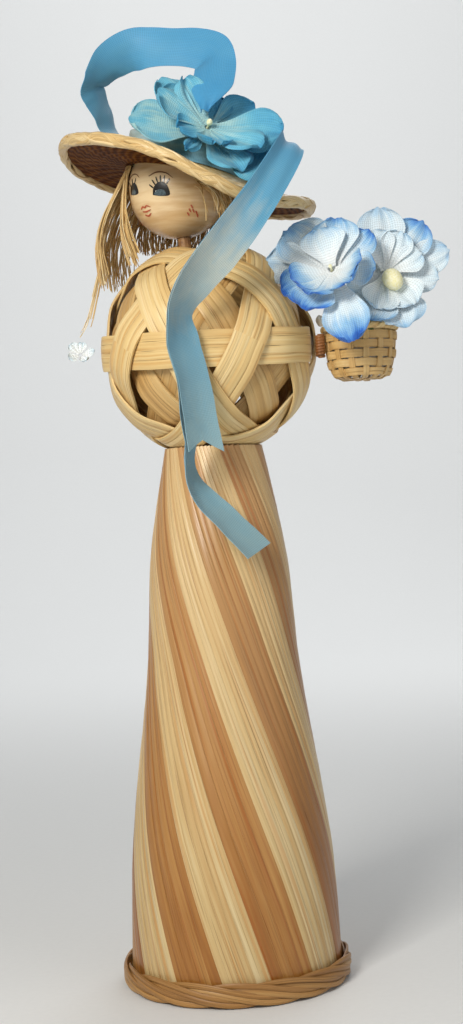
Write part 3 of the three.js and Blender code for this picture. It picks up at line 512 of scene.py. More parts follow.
@dataclass(frozen=True)
class StrawFinish:
    """Split straw or cane: long fibres, a waxy gloss, hairline splits, and each strand its own tone."""

    name: str
    dark: str
    middle: str
    light: str
    line: str
    fibre: float = 0.5
    lines: float = 0.55
    neck_tint_and_highlight: str = ""
    gloss: float = 0.38
    vary: float = 0.3
    streak: str = ""

    def material(self) -> Material:
        """Makes the material.

        Returns:
            The material, for pieces with both UV maps.
        """
        s = Surface(self.name, {"Specular IOR Level": 0.4, "Coat Weight": 0.12, "Coat Roughness": 0.3})
        # Fine fibres and broader bands of tone, both drawn out along the strand
        fine = s.grain(self.fibre, 30.0)
        broad = s.grain(3.0, 45.0, 2.0)
        uv = s.add("UVMap", uv_map="Strand").outputs[0]
        own_tone, along = s.add("SeparateXYZ", {0: uv}).outputs[:2]
        # Patterns lie about 0.5, so this start keeps the tone about the middle colour
        start = 0.5 - (0.75 + 0.5 + self.vary) / 2.0
        tone = s.sum([(fine, 0.75), (broad, 0.5), (own_tone, self.vary)], start)
        stops = [(0.0, self.dark), (0.5, self.middle), (1.0, self.light)]
        colour = s.add("ValToRGB", {0: tone}, stops=stops).outputs[0]
        # Over the tone: a paler tint at the strand's start, partly painted highlight; long streaks;
        # hairline splits last.
        # Each has its pattern, the values that it runs between, its cover at both, and its colour
        split = s.grain(0.24, 55.0, 1.0)
        layers = [(split, 0.31, 0.38, self.lines, 0.0, self.line)]
        if self.streak:
            layers.insert(0, (s.grain(1.0, 150.0, 2.0), 0.54, 0.66, 0.0, 0.6, self.streak))
        if self.neck_tint_and_highlight:
            layers.insert(0, (along, 0.85, 0.1, 0.0, 0.75, self.neck_tint_and_highlight))
        for pattern, low, high, bare, full, above in layers:
            share = s.add("MapRange", {0: pattern, 1: low, 2: high, 3: bare, 4: full}).outputs[0]
            over = {0: share, 6: colour, 7: linear(above)}
            colour = s.add("Mix", over, data_type="RGBA").outputs[2]
        rough = s.add("MapRange", {0: fine, 1: 0.3, 2: 0.7, 3: self.gloss, 4: self.gloss + 0.2})
        # The splits, whose share is the last, cut into the relief
        height = s.sum([(fine, 0.6), (share, -0.5)], 0.3)
        relief = s.add("Bump", {"Height": height, "Distance": 0.14 * MM})
        return s.wire(Base_Color=colour, Roughness=rough.outputs[0], Normal=relief.outputs[0])


@dataclass(frozen=True)
class BeadFinish:
    """Turned and varnished beech: pale, fine grain in rings round the bore, a soft even shine."""

    name: str = "varnished_beech"
    pale: str = "#E8CEA2"
    dark: str = "#C4965A"
    ring: float = 1.6
    ring_length: float = 12.0
    blotch: float = 20.0

    def material(self) -> Material:
        """Makes the material.

        Returns:
            The material, on Object coordinates.
        """
        s = Surface(self.name, {"Roughness": 0.34, "Coat Weight": 0.35, "Coat Roughness": 0.18})
        place = s.add("TexCoord").outputs["Object"]
        scale = [1.0 / (mark * MM) for mark in (self.ring_length, self.ring_length, self.ring)]
        scaled = s.add("Mapping", {"Vector": place, "Scale": scale})
        rings = s.add("TexNoise", {"Vector": scaled.outputs[0], "Scale": 1.0, "Detail": 4.0})
        inputs = {"Vector": place, "Scale": 1.0 / (self.blotch * MM), "Detail": 2.0}
        blotch = s.add("TexNoise", inputs)
        tone = s.sum([(rings.outputs["Fac"], 0.6), (blotch.outputs["Fac"], 0.4)], 0.0)
        stops = [(0.3, self.dark), (0.62, self.pale)]
        colour = s.add("ValToRGB", {0: tone}, stops=stops)
        relief = s.add("Bump", {"Height": rings.outputs["Fac"], "Distance": 0.02 * MM})
        return s.wire(Base_Color=colour.outputs[0], Normal=relief.outputs[0])


@dataclass(frozen=True)
class HatFinish:
    """Sewn straw plait: slanting stitches in rows, pale gold on top, with glossy specks of size."""

    name: str
    dark: str
    middle: str
    light: str
    row: float = 2.4
    stitch: float = 3.0
    gloss: float = 0.4

    def material(self) -> Material:
        """Makes the material.

        Returns:
            The material, for a surface whose UV map runs round the hat and out along its profile.
        """
        shine = {"Specular IOR Level": self.gloss, "Coat Weight": self.gloss / 2.0, "Coat Roughness": 0.3}
        s = Surface(self.name, shine)
        uv = s.add("UVMap", uv_map="UVMap").outputs[0]
        scale = (1.0 / self.stitch, 1.0 / self.row, 1.0)
        scaled = s.add("Mapping", {"Vector": uv, "Scale": scale}).outputs[0]
        inputs = {"Vector": scaled, "Scale": 0.5, "Distortion": 1.5, "Detail": 2.0, "Detail Scale": 1.4}
        plait = s.add("TexWave", inputs, bands_direction="DIAGONAL").outputs["Fac"]
        fibre = s.grain(4.0, 0.4)
        blotch = s.grain(9.0, 5.0, 4.0)
        speck = s.grain(0.9, 0.9, 2.0)
        tone = s.sum([(plait, 0.4), (fibre, 0.5), (blotch, 0.7)], -0.3)
        stops = [(0.0, self.dark), (0.5, self.middle), (1.0, self.light)]
        colour = s.add("ValToRGB", {0: tone}, stops=stops)
        rough = s.add("MapRange", {0: speck, 1: 0.5, 2: 0.68, 3: 0.8, 4: 0.75 - 1.2 * self.gloss})
        height = s.sum([(plait, 0.6), (fibre, 0.5)], 0.0)
        relief = s.add("Bump", {"Height": height, "Distance": 0.3 * MM})
        return s.wire(Base_Color=colour.outputs[0], Roughness=rough.outputs[0], Normal=relief.outputs[0])


@dataclass(frozen=True)
class ClothFinish:
    """Stiffened woven cloth: a plain weave of fine threads that takes the light softly.

    The threads are about 0.15 mm apart, too fine to show, and are drawn at the pitch given here.
    """

    name: str
    stops: tuple[tuple[float, str], ...]
    pitch: float = 0.55
    weave: float = 0.1
    streak: float = 0.35
    sheen: float = 0.25
    roughness: float = 0.72
    shine: float = 0.25

    def material(self) -> Material:
        """Makes the material.

        Returns:
            The material, whose colours run along the share that the second UV map gives.
        """
        constants = {"Roughness": self.roughness, "Sheen Weight": self.sheen, "Sheen Roughness": 0.4}
        s = Surface(self.name, {**constants, "Specular IOR Level": self.shine})
        uv = s.add("UVMap", uv_map="UVMap").outputs[0]
        threads = []
        for direction in ("X", "Y"):
            inputs = {"Vector": uv, "Scale": 0.5 / self.pitch * 2.0 / pi, "Distortion": 0.2}
            threads.append(s.add("TexWave", inputs, bands_direction=direction).outputs["Fac"])
        weave = s.sum([(threads[0], 0.5), (threads[1], 0.5)], 0.0)
        streak = s.grain(1.6, 9.0, 3.0)
        blotch = s.grain(7.0, 7.0, 2.0)
        strand = s.add("UVMap", uv_map="Strand").outputs[0]
        share = s.add("SeparateXYZ", {0: strand}).outputs[1]
        tone = s.sum([(share, 1.0), (streak, self.streak), (blotch, self.streak)], -self.streak)
        colour = s.add("ValToRGB", {0: tone}, stops=list(self.stops)).outputs[0]
        shade = s.add("MapRange", {0: weave, 1: 0.15, 2: 0.6, 3: 0.84, 4: 1.06}).outputs[0]
        shaded = s.add("VectorMath", {0: colour, "Scale": shade}, operation="SCALE")
        height = s.sum([(weave, 1.0), (streak, 0.6)], 0.0)
        relief = s.add("Bump", {"Height": height, "Distance": self.weave * MM})
        return s.wire(Base_Color=shaded.outputs[0], Normal=relief.outputs[0])


@dataclass(frozen=True)
class PlainFinish:
    """A finish on Object coordinates: a mottled colour with a slight relief."""

    name: str
    low: str
    high: str
    mark: float
    roughness: float
    depth: float = 0.05
    coat: float = 0.0
    transmission: float = 0.0

    def material(self) -> Material:
        """Makes the material.

        Returns:
            The material, its marks in millimetres.
        """
        constants = {"Roughness": self.roughness, "Coat Weight": self.coat, "Coat Roughness": 0.1}
        s = Surface(self.name, {**constants, "Transmission Weight": self.transmission})
        place = s.add("TexCoord").outputs["Object"]
        inputs = {"Vector": place, "Scale": 1.0 / (self.mark * MM), "Detail": 4.0}
        mottle = s.add("TexNoise", inputs).outputs["Fac"]
        stops = [(0.32, self.low), (0.68, self.high)]
        colour = s.add("ValToRGB", {0: mottle}, stops=stops)
        relief = s.add("Bump", {"Height": mottle, "Distance": self.depth * MM})
        return s.wire(Base_Color=colour.outputs[0], Normal=relief.outputs[0])


class Finishes:
    """All of the doll's materials, each made once."""

    def __init__(self) -> None:
        """Makes every material."""
        # Wheat straw, bleached and split: silky cream to honey, with brown hairlines, warm and paler at the
        # neck, partly a painted highlight
        self.pale_straw = StrawFinish(
            "bleached_wheat_straw", "#B0834A", "#CBB07C", "#DED0A8", "#80521F", neck_tint_and_highlight="#DABA88", vary=0.5,
            streak="#BC8648", gloss=0.26,
        ).material()
        # Wheat straw, scorched: russet browns with the same silky fibre, paler at the neck, partly a
        # painted highlight
        self.tan_straw = StrawFinish(
            "scorched_wheat_straw", "#7A4516", "#9F6A30", "#BC8E50", "#5C310F", neck_tint_and_highlight="#C69D6B", vary=0.4,
            streak="#A05A22", lines=0.35, gloss=0.26,
        ).material()
        # Split rattan: clear pale gold with fine fibre lines and a dull gloss
        self.cane = StrawFinish(
            "split_rattan", "#C99C5C", "#E2C488", "#F3E1B4", "#A06F34", fibre=0.4, lines=0.5,
            streak="#CC9A56",
        ).material()
        # The same rattan, darker and browner: painted shade for the ball's inner layer, which makes the
        # ball look deep
        self.inner_cane = StrawFinish(
            "aged_split_rattan", "#A97B40", "#CFA96C", "#E6CC96", "#7E5425", fibre=0.4
        ).material()
        # Willow skin twisted round the skirt's foot: brown, with worn highs
        self.rim_cane = StrawFinish(
            "brown_willow_skin", "#74481C", "#A97C44", "#CDAA70", "#4C2B0D", fibre=0.35
        ).material()
        # Beech, turned and varnished: warm and pale, with faint rings and a soft shine
        self.bead = BeadFinish().material()
        # Straw plait, sewn, lit side: pale gold rows of stitches that glint in specks
        self.hat_straw = HatFinish("straw_plait", "#B98848", "#E2C284", "#F6E6BE").material()
        # The same plait underneath, painted dark brown and dull as painted shade, so that the brim looks
        # shady
        self.hat_under = HatFinish(
            "browned_straw_plait", "#261004", "#5A300E", "#8F5C22", gloss=0.08
        ).material()
        # Raffia bound round the brim's edge: pale and dry with a slight gloss
        self.rim_straw = StrawFinish(
            "bound_raffia", "#B0803F", "#D6B880", "#EFDDB2", "#8A5C2A", fibre=0.35, gloss=0.3
        ).material()
        # Raffia combed out for hair: each fibre its own blond, from brown to near white
        self.hair = StrawFinish(
            "raffia_fibre", "#A97B3C", "#DDBE82", "#F8E9BF", "#6E451B", fibre=0.3, lines=0.3, vary=0.7
        ).material()
        # Raffia felted to a wad: rough, dull and darker than the hair
        self.hair_pad = PlainFinish(
            "felted_raffia", "#8A5C2B", "#CDA262", mark=0.9, roughness=0.75, depth=0.4
        ).material()
        # Acetate ribbon, woven: sky blue and faintly silky, with a painted highlight, pale grey-blue, where
        # its bend catches the light
        blue_with_painted_highlight = (
            (0.0, "#4796C6"), (0.36, "#62A3C4"), (0.52, "#B2BDB8"), (0.62, "#9AB4BA"), (0.74, "#78AAC0"),
            (1.0, "#8FB0B8"),
        )
        self.ribbon = ClothFinish(
            "acetate_ribbon", blue_with_painted_highlight, pitch=0.5, weave=0.06, streak=0.16, sheen=0.06, roughness=0.5,
            shine=0.35,
        ).material()
        # Gauze, stiffened and dyed turquoise: matt, with paler throats and uneven dye
        throats = ((0.0, "#A9D2D4"), (0.35, "#6FB9D2"), (1.0, "#3B93C0"))
        self.blue_petal = ClothFinish(
            "dyed_gauze_turquoise", throats, pitch=0.6, weave=0.1, streak=0.8, sheen=0.1
        ).material()
        # Gauze, stiffened and dipped: white, with blue that bleeds in from the tips
        tips = ((0.08, "#F2F7F9"), (0.46, "#D9EAF4"), (0.7, "#98C6EA"), (0.88, "#5A96DC"), (1.0, "#386FCA"))
        self.white_petal = ClothFinish(
            "tip_dyed_gauze", tips, pitch=0.7, weave=0.12, streak=0.45
        ).material()
        # Paper pulp, pressed: a matt cream knob with a slightly rough skin
        self.stamen = PlainFinish(
            "pressed_pulp_stamen", "#EEE7A8", "#FCF9DC", mark=0.5, roughness=0.6, depth=0.1
        ).material()
        # Wire wrapped in crepe paper: dull green, lightly mottled
        self.stem = PlainFinish(
            "wrapped_wire", "#45653A", "#7C9A62", mark=0.8, roughness=0.6, depth=0.1
        ).material()
        # Hot-melt glue, set: milky and wet-looking, with a little light through it
        self.glue = PlainFinish(
            "hot_melt_glue", "#E4DCCB", "#FBF8F0", mark=1.5, roughness=0.18, depth=0.1, coat=0.4,
            transmission=0.25,
        ).material()
        # Twine, waxed: deep brown, with a low shine on each turn
        self.twine = StrawFinish(
            "waxed_brown_twine", "#5A3416", "#936034", "#C09058", "#3A2009", fibre=0.3
        ).material()
        # Beech of the plug and the peg: mid brown and matt, painted darker than the bead as shade for the
        # peg in the gap under the bead
        self.wood = PlainFinish(
            "oiled_beech", "#7A5230", "#A87E4E", mark=1.2, roughness=0.6, depth=0.08
        ).material()
        # Rattan core, peeled, of the base hoop: fawn, with a faint mottle
        self.core = PlainFinish(
            "rattan_core", "#9C6E38", "#C9A067", mark=0.9, roughness=0.55, depth=0.12
        ).material()
        # Brush paint of the face: glossy black and grey with a white glint, then matt red and brown
        self.paints = [
            PlainFinish("black_lacquer", "#0B0908", "#1B1613", 0.6, 0.3, 0.02, 0.3).material(),
            PlainFinish("white_enamel", "#E9E4DA", "#FBF8F2", 0.6, 0.35, 0.02, 0.2).material(),
            PlainFinish("grey_enamel", "#2E3C44", "#5C6E74", 0.5, 0.3, 0.02, 0.3).material(),
            PlainFinish("rouge_paint", "#A8492F", "#C4694C", 0.5, 0.5, 0.02).material(),
            PlainFinish("umber_wash", "#5A3418", "#7E4F2A", 0.5, 0.5, 0.02).material(),
        ]


# The doll's parts


@dataclass
class Skirt:
    """The hollow skirt: fourteen bands of narrow straws that run round and down, on a twisted rim."""

    finishes: Finishes
    height: float = 158.5
    profile: tuple[Pair, ...] = (
        (31.5, 0.0), (29.7, 40.0), (22.9, 92.0), (20.4, 126.0), (14.6, 158.5)
    )
    samples: int = 400
    slats: int = 14
    pale_straws: int = 6
    tan_straws: int = 4
    straw_shares: Pair = (0.78, 1.22)
    straw_rise: Pair = (-0.06, 0.04)
    straw_wave: float = 0.1
    wave_length: float = 14.0
    wave_start: float = 40.0
    straw_overlap: float = 0.02
    thickness: float = 0.7
    slope: float = 0.31
    start: float = -56.0
    foot_lift: float = 0.75
    levels: int = 60
    rim_height: float = 3.3
    rim_thickness: float = 0.9
    rim_turns: int = 4
    rim_steps: int = 192
    rim_canes: int = 2
    rim_bundles: int = 2
    rim_share: float = 0.98
    rim_lift: float = 0.3
    rim_slack: float = 0.1
    radii: list[float] = field(default_factory=list)
    turns: list[float] = field(default_factory=list)

    def __post_init__(self) -> None:
        """Works out the radius and the slats' turn at each level, from the top down."""
        samples = Route(self.profile, even=True).run(self.samples)
        for i in range(self.levels + 1):
            height = self.height * (1.0 - i / self.levels)
            self.radii.append(self.interpolate(samples, height))
            step = self.slope * self.height / self.levels / self.radii[-1]
            self.turns.append(self.turns[-1] + step if i else 0.0)

    @staticmethod
    def interpolate(samples: Points, height: float) -> float:
        """The radius at a height.

        Args:
            samples: Close points of the outline, in order of height.
            height: The height to look up.

        Returns:
            The outline's radius there.
        """
        for low, high in zip(samples, samples[1:]):
            if high.y >= height:
                share = (height - low.y) / max(high.y - low.y, TINY)
                return lerp(low.x, high.x, min(1.0, max(0.0, share)))
        return samples[-1].x

    def build(self) -> None:
        """Builds the straws of every slat and the rim."""
        rng = Random(SEED)
        width = tau / self.slats
        first = radians(-90.0 + self.start) - self.turns[-1]
        for k in range(self.slats):
            form = Form()
            pale = k % 2 == 0
            straws = self.pale_straws if pale else self.tan_straws
            weights = [rng.uniform(*self.straw_shares) for _ in range(straws)]
            total = sum(weights)
            edge = first + k * width
            for weight in weights:
                self.straw(form, edge, width * weight / total, rng)
                edge += width * weight / total
            material = self.finishes.pale_straw if pale else self.finishes.tan_straw
            slot = Slot.PALE_STRAW if pale else Slot.TAN_STRAW
            node = f"skirt_slat_{k + 1:02d}"
            form.finish(f"{node}_straws", [material], Body.FIGURE, slot, [node])
        self.rim(rng)

    def straw(self, form: Form, edge: float, width: float, rng: Random) -> None:
        """One straw of a slat, from the neck to the foot.

        Args:
            form: The mesh.
            edge: The turn of its first edge at the top, in radians.
            width: The turn that it takes up.
            rng: Draws its grain and its slight rise and fall.
        """
        path, outs, widths = [], [], []
        lift = rng.uniform(*self.straw_rise)
        phase = rng.uniform(0.0, self.wave_start)
        narrowing = cos(atan(self.slope))
        for i, (radius, turn) in enumerate(zip(self.radii, self.turns)):
            height = lerp(self.height, self.foot_lift, i / self.levels)
            out = polar(1.0, degrees(edge + turn + width / 2.0))
            wave = self.straw_wave * noise.noise(Vector((phase, height / self.wave_length, 0.0)))
            path.append(out * (radius - self.thickness / 2.0 + lift + wave) + UP * height)
            outs.append(out)
            widths.append(width * radius * narrowing + self.straw_overlap)
        form.strip(path, outs, widths, self.thickness, rng, sides=10, fullness=0.3)

    def rim(self, rng: Random) -> None:
        """The two strands twisted round the foot, each of two pairs of canes.

        Args:
            rng: Draws the canes' grain.
        """
        sway = (self.rim_height + GLUE_GAP) / 2.0 + self.rim_slack
        depth = (self.rim_thickness + GLUE_GAP) / 2.0 + self.rim_slack
        middle = self.rim_lift + sway + self.rim_height / 2.0
        radius = self.radii[-1] + GLUE_GAP + depth + self.rim_thickness / 2.0
        pitch = self.rim_height / self.rim_canes
        for index, label in enumerate("ab"):
            form = Form()
            for number in range(self.rim_bundles * self.rim_canes):
                cane, bundle = number % self.rim_canes, number // self.rim_canes
                shift = pi * (index + bundle / self.rim_bundles)
                path, outs = [], []
                for i in range(self.rim_steps):
                    angle = tau * i / self.rim_steps
                    twist = self.rim_turns * angle + shift
                    out = polar(1.0, degrees(angle))
                    centre = out * (radius + depth * sin(twist))
                    offset = (cane - (self.rim_canes - 1) / 2.0) * pitch
                    path.append(centre + UP * (middle + sway * cos(twist) + offset))
                    outs.append(out)
                widths = [pitch * self.rim_share] * self.rim_steps
                form.strip(path, outs, widths, self.rim_thickness, rng, closed=True, fullness=0.8)
            node = f"base_rim_strand_{label}"
            slot = Slot.CANE if index == 0 else Slot.TAN_STRAW
            form.finish(f"{node}_canes", [self.finishes.rim_cane], Body.FIGURE, slot, [node])


@dataclass
class WovenBall:
    """The ball: two layers of six hoops that cross over and under, four canes to a hoop."""

    finishes: Finishes
    centre_height: float = 187.946
    radius: float = 32.3
    band: float = 8.8
    thickness: float = 0.8
    weave_gap: float = 0.35
    spin: float = 128.0
    nod: float = 5.0
    margin: float = 0.6
    inner_turn: float = 36.0
    canes: int = 4
    cane: float = 2.5
    cane_overlap: float = 0.12
    cane_share: float = 0.95
    spread: float = 0.05
    wander: float = 0.1
    steps: int = 180

    @property
    def centre(self) -> Vector:
        """The ball's middle."""
        return Vector((0.0, 0.0, self.centre_height))

    @property
    def reach(self) -> float:
        """How far the bands' edges stand out from the middle."""
        return hypot(self.radius, self.band / 2.0)

    def axes(self, spin: float) -> list[Vector]:
        """The six axes of an icosahedron, which the hoops lie square to.

        Args:
            spin: The layer's turn about its first axis, in degrees.

        Returns:
            Six unit vectors.
        """
        tilt = atan(2.0)
        found = [UP.copy()]
        for k in range(5):
            found.append(polar(sin(tilt), spin + 72.0 * k, cos(tilt)))
        nod = Matrix.Rotation(radians(self.nod), 3, "X")
        return [nod @ axis for axis in found]

    @staticmethod
    def passes_over(axes: Points, i: int, j: int, p: Vector) -> bool:
        """Whether one hoop passes over another, by a chequerboard of the regions between hoops.

        Args:
            axes: The layer's axes.
            i: The one hoop.
            j: The other.
            p: Where they cross, as a unit vector.

        Returns:
            True where hoop i lies on top.
        """
        along, across = axes[i].cross(p), axes[j].cross(p)
        corner = p + 0.01 * along + 0.01 * across
        even = sum(1 for axis in axes if axis.dot(corner) > 0.0) % 2 == 0
        return even == (along.cross(across).dot(p) > 0.0)

    def crossings(self, axes: Points, i: int, u: Vector, v: Vector) -> list[tuple[float, bool]]:
        """Where a hoop meets the others.

        Args:
            axes: The layer's axes.
            i: Which hoop.
            u: Where its angles start.
            v: A quarter turn on.

        Returns:
            The angles in order, each with whether the hoop lies on top.
        """
        found = []
        for j, axis in enumerate(axes):
            if j == i:
                continue
            for sign in (1.0, -1.0):
                p = axes[i].cross(axis).normalized() * sign
                found.append((atan2(p.dot(v), p.dot(u)), self.passes_over(axes, i, j, p)))
        return sorted(found)

    def build(self) -> None:
        """Builds both layers of hoops."""
        rng = Random(SEED + 1)
        drop = self.thickness + self.weave_gap + self.reach - self.radius
        over = self.radius - self.thickness / 2.0
        below = over - 2.0 * drop
        # The inner layer takes the darker rattan, painted shade beneath the outer hoops
        layers = (
            ("outer", self.spin, over, self.finishes.cane, Slot.CANE),
            ("inner", self.spin + self.inner_turn, below, self.finishes.inner_cane, Slot.INNER_CANE),
        )
        for label, spin, top, material, slot in layers:
            axes = self.axes(spin)
            for i in range(len(axes)):
                form = Form()
                self.hoop(form, axes, i, top, top - drop, rng)
                node = f"ball_{label}_hoop_{i + 1}"
                form.finish(f"{node}_canes", [material], Body.FIGURE, slot, [node])

    def hoop(
        self, form: Form, axes: Points, i: int, over: float, under: float, rng: Random
    ) -> None:
        """The canes of one hoop.

        Args:
            form: The mesh.
            axes: The layer's axes.
            i: Which hoop.
            over: Its middle's radius where it lies on top.
            under: Its middle's radius where it lies beneath.
            rng: Draws the canes' grain and their slight wander.
        """
        axis = axes[i]
        u = axis.cross(Vector((0.0, 1.0, 0.0)) if abs(axis.z) > 0.9 else UP).normalized()
        v = axis.cross(u)
        met = self.crossings(axes, i, u, v)
        flat = 0.5 * (self.band / 2.0 + self.margin) / tan(atan(2.0) / 2.0) / under
        for cane in range(self.canes):
            offset = (cane - (self.canes - 1) / 2.0) * self.cane
            phase = rng.uniform(0.0, 90.0)
            path, outs = [], []
            for step in range(self.steps):
                angle = -pi + tau * step / self.steps
                height, middle = self.lie(met, angle, flat, over, under)
                out = u * cos(angle) + v * sin(angle)
                stray = noise.noise(Vector((phase, 6.0 * out.x, 6.0 * out.y + 3.0 * out.z)))
                beta = (offset * (1.0 + self.spread * middle) + self.wander * stray) / height
                face = out * cos(beta) + axis * sin(beta)
                path.append(self.centre + face * height)
                outs.append(face)
            widths = [self.cane + self.cane_overlap] * self.steps
            thickness = self.thickness * self.cane_share
            form.strip(path, outs, widths, thickness, rng, closed=True, sides=10, fullness=0.22)

    @staticmethod
    def lie(
        met: Sequence[tuple[float, bool]], angle: float, flat: float, over: float, under: float
    ) -> Pair:
        """A hoop's radius at an angle, and how far from a crossing that is.

        Args:
            met: The crossings in order.
            angle: The place along the hoop.
            flat: Half the turn over which a crossing lies level.
            over: The radius on top.
            under: The radius beneath.

        Returns:
            The radius, and 1 midway between crossings or 0 at one.
        """
        spans = list(zip(met, list(met[1:]) + [(met[0][0] + tau, met[0][1])]))
        if angle < met[0][0]:
            angle += tau
        for (a, first), (b, second) in spans:
            if a <= angle <= b:
                share = smooth((angle - a - flat) / max(b - a - 2.0 * flat, TINY))
                middle = sin(pi * (angle - a) / (b - a))
                return lerp(over if first else under, over if second else under, share), middle
        return under, 0.0


@dataclass
class Head:
    """The bead and its painted face. The face looks towards the viewer's left."""

    finishes: Finishes
    ball: WovenBall
    radius: float = 15.0
    lift: float = 1.0
    bore: float = 2.3
    bore_depth: float = 18.0
    peg_lean: float = 4.3
    peg_foot: float = 144.0
    segments: int = 72
    rings: int = 40
    face_turn: float = -41.0
    paint_depth: float = 0.06
    eye_lift: float = 0.03
    iris_lift: float = 0.08
    top_lift: float = 0.12
    near_brow: Mark = ((-32.4, 6.0), (-22.1, 9.2), (-11.3, 7.0), (-3.8, 1.0))
    near_brow_width: float = 0.34
    near_eye: Mark = (
        (-29.4, -15.4), (-27.6, -8.4), (-23.2, -3.4), (-17.5, -1.8), (-12.2, -4.4), (-9.2, -10),
        (-8.6, -17.2), (-19, -17.6),
    )
    near_iris: Mark = (
        (-27.6, -15.2), (-26, -12.4), (-20.5, -10.2), (-14.5, -11.8), (-13.2, -16.6), (-19, -17.1)
    )
    glint: Pair = (-24.2, -12.4)
    glint_size: float = 1.5
    near_lashes: tuple[Mark, ...] = (
        ((-27, -8), (-32.4, -3.4)), ((-24.6, -4.6), (-28.4, 1.4)), ((-21.4, -2.6), (-23.4, 4.2)),
        ((-18, -1.6), (-18, 5.4)), ((-14.6, -2.6), (-12.8, 4.4)), ((-11.2, -5), (-7.4, 1)),
    )
    near_lash_width: float = 0.42
    far_brow: Mark = ((-72, 9), (-62, 13), (-53, 11.6), (-47, 7))
    far_brow_width: float = 0.32
    far_eye: Mark = (
        (-69, -8), (-67, -1), (-62, 2.6), (-56, 2.4), (-52, -1.6), (-50.6, -9.6), (-60, -10.4)
    )
    far_iris: Mark = ((-66, -8.4), (-62, -4.6), (-57, -5), (-54.6, -9.4), (-60, -9.8))
    far_lashes: tuple[Mark, ...] = (
        ((-66, 0.4), (-70, 5.4)), ((-61, 2.6), (-62.4, 8.4)), ((-55.6, 2), (-53.4, 7.4))
    )
    far_lash_width: float = 0.38
    lips: tuple[tuple[Mark, float], ...] = (
        (((-55, -28), (-50, -25.8), (-46.4, -27), (-43, -25.4), (-37, -27.8)), 0.5),
        (((-54, -31), (-47, -32), (-38, -30.6)), 0.45),
        (((-53, -35.4), (-47, -37.4), (-40, -34.8)), 0.55),
    )
    dabs: Mark = ((14.6, -40), (18.4, -31), (21.6, -36), (26.6, -38), (29.6, -41.6), (16.4, -35.4))
    dab_width: float = 0.5

    @property
    def along(self) -> Vector:
        """The peg's way up."""
        lean = radians(self.peg_lean)
        return Vector((-sin(lean), 0.0, cos(lean)))

    @property
    def centre(self) -> Vector:
        """The bead's middle, on the peg."""
        height = self.ball.centre_height + self.ball.reach + self.lift + self.radius
        return Vector((0.0, 0.0, self.peg_foot)) + self.along * ((height - self.peg_foot) / self.along.z)

    def on_bead(self, yaw: float, pitch: float, lift: float) -> Vector:
        """A point over the bead.

        Args:
            yaw: Its turn from the front, in degrees.
            pitch: Its height, in degrees.
            lift: How far over the bead it lies.

        Returns:
            The point.
        """
        y, p = radians(yaw), radians(pitch)
        reach = self.radius + lift
        way = Vector((sin(y) * cos(p), -cos(y) * cos(p), sin(p)))
        return self.centre + way * reach

    def build(self) -> None:
        """Builds the bead and paints it."""
        form = Form()
        bore_turn = asin(self.bore / self.radius)
        depth = self.bore_depth - self.radius

        def place(u: float, v: float) -> Vector:
            """A point from the bore's end, down its wall and over the bead."""
            turn = tau * u
            row = round(v * (self.rings + 2))
            if row == 0:
                return Vector((0.0, 0.0, depth))
            if row == 1:
                return polar(self.bore, degrees(turn), depth)
            lean = lerp(bore_turn, pi, (row - 2) / self.rings)
            return polar(self.radius * sin(lean), degrees(turn), -self.radius * cos(lean))

        size = (tau * self.radius, pi * self.radius)
        form.sweep((self.segments, self.rings + 2), place, size, merged=True)
        form.move(facing(self.centre, self.along))
        materials = [self.finishes.bead]
        form.finish("head_bead_turned", materials, Body.HEAD, Slot.BEAD_WOOD, ["head_bead"], 50.0)
        self.paint()

    def paint(self) -> None:
        """Lays the face's brush marks just over the bead."""
        form = Form()
        # The nearer eye: a black half-round, flat below, with a grey-green iris and lashes
        self.stroke(form, self.near_brow, self.near_brow_width, Paint.BROWN)
        self.patch(form, self.near_eye, self.eye_lift, Paint.BLACK)
        self.patch(form, self.near_iris, self.iris_lift, Paint.GREY)
        yaw, pitch = self.glint
        stretch = 1.0 / cos(radians(pitch))
        dots = [polar(self.glint_size, 36.0 * i) for i in range(10)]
        glint = tuple((yaw + stretch * dot.x, pitch + dot.y) for dot in dots)
        self.patch(form, glint, self.top_lift, Paint.WHITE, rows=3)
        for lash in self.near_lashes:
            self.stroke(form, lash, self.near_lash_width, Paint.BLACK)
        # The farther eye
        self.patch(form, self.far_eye, self.eye_lift, Paint.BLACK)
        self.patch(form, self.far_iris, self.iris_lift, Paint.GREY)
        for lash in self.far_lashes:
            self.stroke(form, lash, self.far_lash_width, Paint.BLACK)
        self.stroke(form, self.far_brow, self.far_brow_width, Paint.BROWN)
        # Lips in three small strokes
        for line, width in self.lips:
            self.stroke(form, line, width, Paint.RED)
        # Rouge on each cheek: a few short dabs
        for yaw, pitch in self.dabs:
            for turn in (yaw, 2.0 * self.face_turn - yaw):
                dab = ((turn - 1.6, pitch + 2), (turn + 1.8, pitch - 2.4))
                self.stroke(form, dab, self.dab_width, Paint.RED)
        form.finish("face_paint", self.finishes.paints, Body.HEAD, Slot.BEAD_WOOD)

    def patch(self, form: Form, outline: Mark, lift: float, paint: Paint, rows: int = 4) -> None:
        """A filled brush mark.

        Args:
            form: The mesh.
            outline: Its edge.
            lift: How far over the bead it lies.
            paint: What it is painted with.
            rows: How many rings of faces fill it.
        """
        points = [Vector((*p, 0.0)) for p in outline]
        middle = sum(points, Vector()) / len(points)
        ring = Route(points + [points[0]]).run(4 * len(points))

        def place(u: float, v: float) -> Vector:
            """A point between the mark's middle and its edge."""
            edge = ring[round(u * (len(ring) - 1)) % (len(ring) - 1)]
            at = middle.lerp(edge, v)
            return self.on_bead(at.x, at.y, lift)

        cells = (len(ring) - 1, rows)
        faces = form.sweep(cells, place, (3.0, 3.0), merged=True, material=paint.value)
        form.thicken(faces, self.paint_depth)

